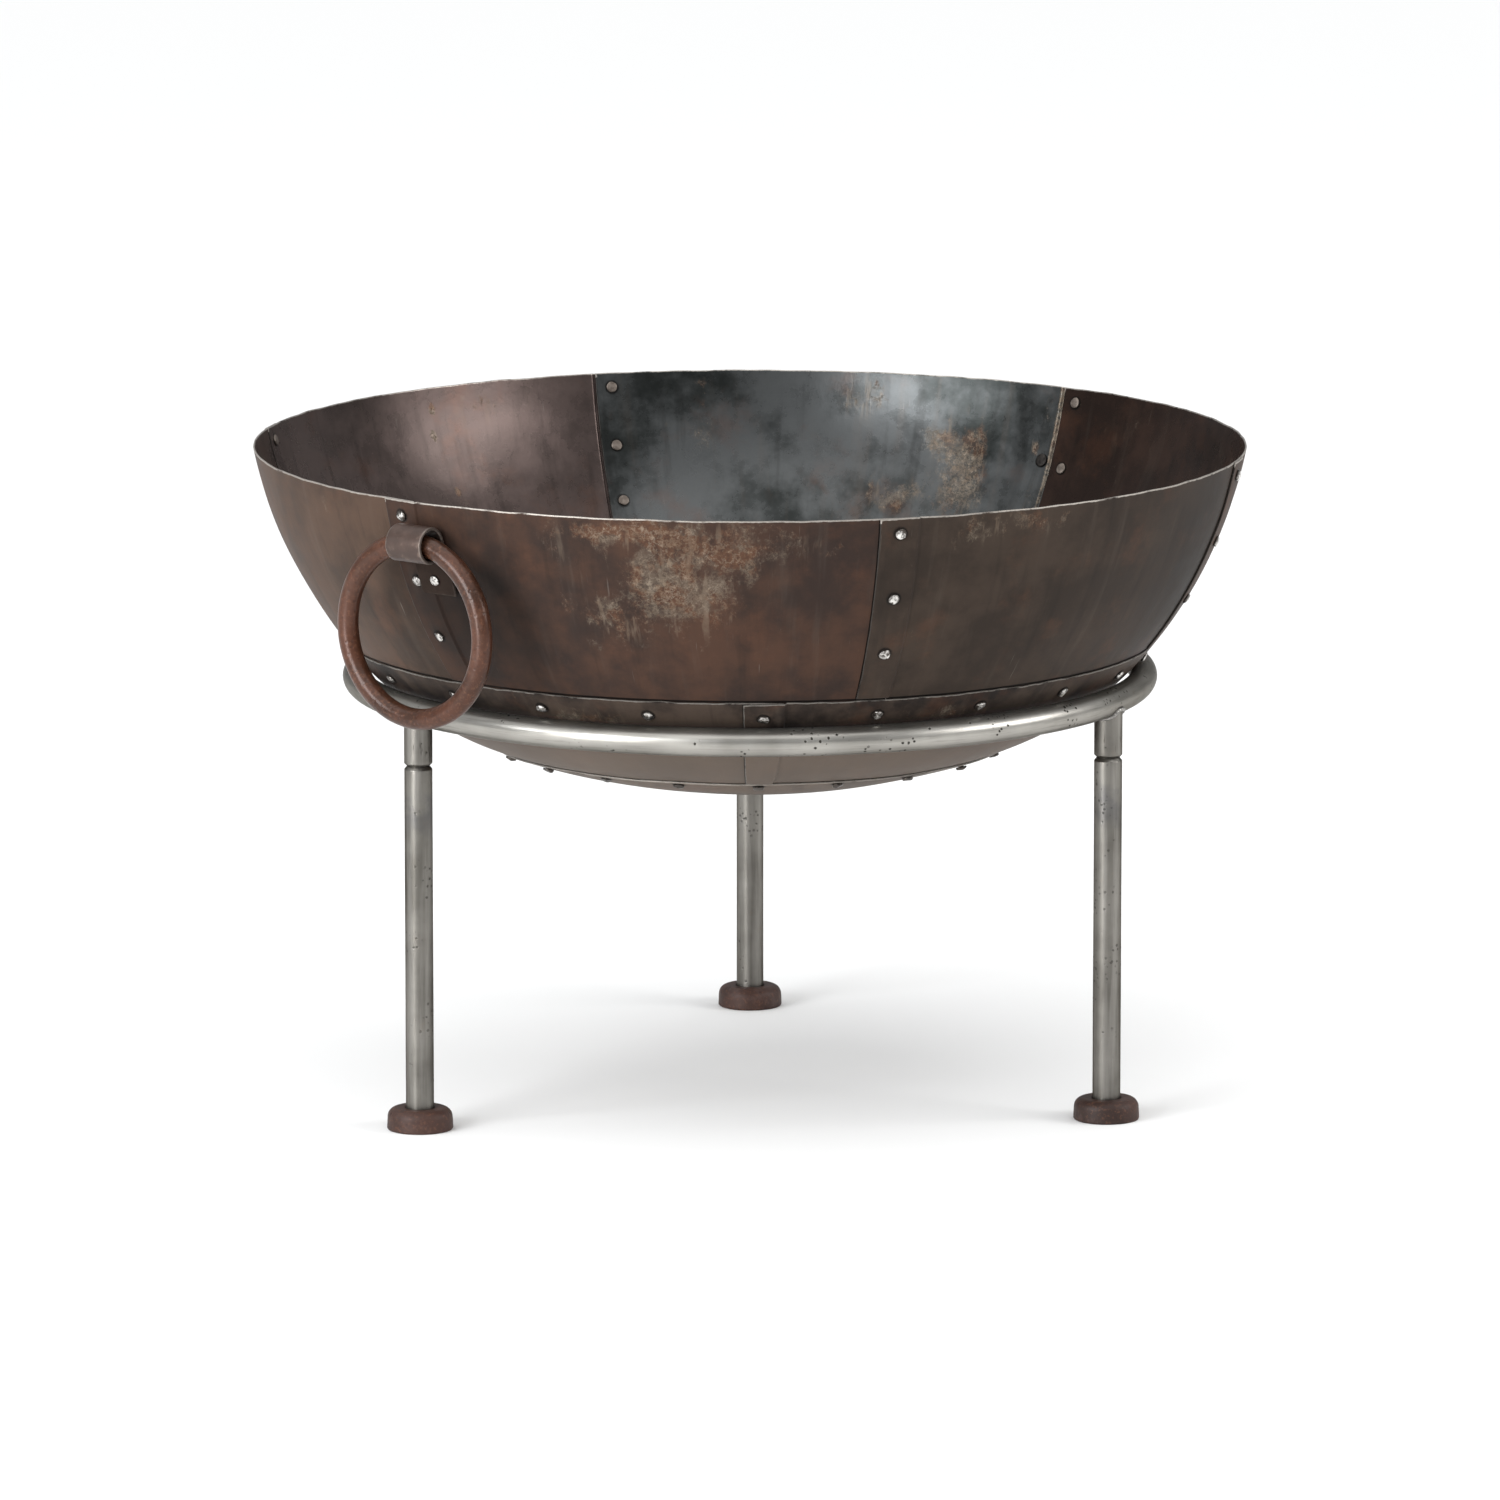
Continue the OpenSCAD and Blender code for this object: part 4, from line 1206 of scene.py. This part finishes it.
def floor():
    g = Graph("floor_paint")
    g.set(Base_Color=(0.88, 0.875, 0.865), Roughness=0.7)
    mesh = bpy.data.meshes.new("floor")
    half = 40
    corners = [(-half, -half, 0), (half, -half, 0), (half, half, 0), (-half, half, 0)]
    mesh.from_pydata(corners, [], [(0, 1, 2, 3)])
    mesh.materials.append(g.material)
    add_object("floor", mesh)


def soft_light(name, azimuth, elevation, distance, size, radiance, colour=(1, 1, 1)):
    """A softbox that faces the bowl, at an azimuth and elevation in degrees, of an even radiance."""
    target = Vector((0, 0, LIGHTS_AIM_Z))
    across, up = math.radians(azimuth), math.radians(elevation)
    direction = Vector((math.sin(across) * math.cos(up), -math.cos(across) * math.cos(up), math.sin(up)))
    data = bpy.data.lights.new(name, "AREA")
    data.shape = "RECTANGLE"
    data.size, data.size_y = size
    data.energy = radiance * math.pi * size[0] * size[1]
    data.color = colour
    lamp = add_object(name, data)
    lamp.location = target + direction * distance
    lamp.rotation_euler = (-direction).to_track_quat("-Z", "Y").to_euler()


def overhead_light(strength):
    """An even light from a wide ceiling, so that the floor is equally bright however far away it is."""
    data = bpy.data.lights.new("ceiling", "SUN")
    data.energy = strength
    data.angle = math.radians(80)
    add_object("ceiling", data).rotation_euler = (math.radians(12), math.radians(-8), 0)


def studio_world():
    """Soft surroundings: dim at the level of the floor, brighter overhead."""
    world = bpy.data.worlds.new("studio")
    world.use_nodes = True
    tree = world.node_tree
    background = tree.nodes["Background"]
    direction = tree.nodes.new("ShaderNodeTexCoord").outputs["Generated"]
    split = tree.nodes.new("ShaderNodeSeparateXYZ")
    tree.links.new(direction, split.inputs[0])
    height = tree.nodes.new("ShaderNodeMapRange")
    tree.links.new(split.outputs["Z"], height.inputs[0])
    for index, number in ((1, 0.0), (2, 0.8), (3, 0.30), (4, 0.75)):
        height.inputs[index].default_value = number
    tree.links.new(height.outputs[0], background.inputs["Strength"])
    background.inputs["Color"].default_value = (0.96, 0.98, 1.0, 1)
    bpy.context.scene.world = world


def lights():
    studio_world()
    overhead_light(1.65)
    soft_light("key", -47, 17, 4.6, (3.0, 1.2), 15.0, (0.94, 0.97, 1.0))
    soft_light("low", -40, 1, 4.6, (0.8, 1.0), 22.0)
    soft_light("right", 78, 22, 4.6, (2.7, 1.3), 9.5)


def camera():
    data = bpy.data.cameras.new("camera")
    data.lens = CAMERA_LENS
    data.sensor_width = 36
    data.clip_start, data.clip_end = 0.5, 200
    eye = add_object("camera", data)
    back = Vector((0, -math.cos(CAMERA_PITCH), math.sin(CAMERA_PITCH)))
    eye.location = CAMERA_TARGET + back * CAMERA_DISTANCE
    eye.rotation_euler = (-back).to_track_quat("-Z", "Y").to_euler()
    bpy.context.scene.camera = eye
    bpy.context.scene.view_settings.view_transform = "Standard"


# ---- Assembly -------------------------------------------------------------------------------

camera()
floor()
lights()

RIVETS = {
    "seam_rivets": seam_rivet_frames(),
    "girth_rivets": girth_rivet_frames(),
    "dish_rivets": dish_rivet_frames(),
    "strap_rivets": strap_rivet_frames(),
}
bowl_sheets()

rivet_finish = rivet_material("rivet_finish")
rivet_group("seam_rivets", rivet_finish, 11)
rivet_group("girth_rivets", rivet_finish, 12)
# The dish's rivets have dark tops: sooty, and painted shade under the bowl
rivet_group("dish_rivets", rivet_material("dish_rivet_soot_and_shade", worn=(0.10, 0.085, 0.072)), 13)
blackened = rivet_material("strap_rivet_finish", (0.030, 0.026, 0.023), (0.012, 0.010, 0.009))
rivet_group("strap_rivets", blackened, 14)

strap_finish = strap_material("strap_finish")
for number in (1, 2):
    strap(number, strap_finish)
    ring_handle(number, rust_material(f"ring_handle_{number}_finish", seed=4.0 * number))

stand_ring(steel_material("stand_ring_finish", (0.345, 0.331, 0.304), (0.255, 0.244, 0.222), seed=2.0))
socket_welds(weld_material("weld_finish"))
foot_finish = rust_material(
    "foot_finish", (0.051, 0.025, 0.019), (0.027, 0.014, 0.011), (0.092, 0.058, 0.051), gloss=0.55, seed=21.0
)
spigot_finish = steel_material("spigot_finish", seed=50.0)
for number in LEG_AZIMUTHS:
    leg_socket(number, steel_material(f"leg_socket_{number}_finish", scored=True, seed=60.0 + 5 * number))
    leg_finish = steel_material(f"leg_{number}_finish", tinted=True, pitting=0.4, seed=80.0 + 5 * number)
    leg(number, leg_finish, spigot_finish)
    foot(number, foot_finish)
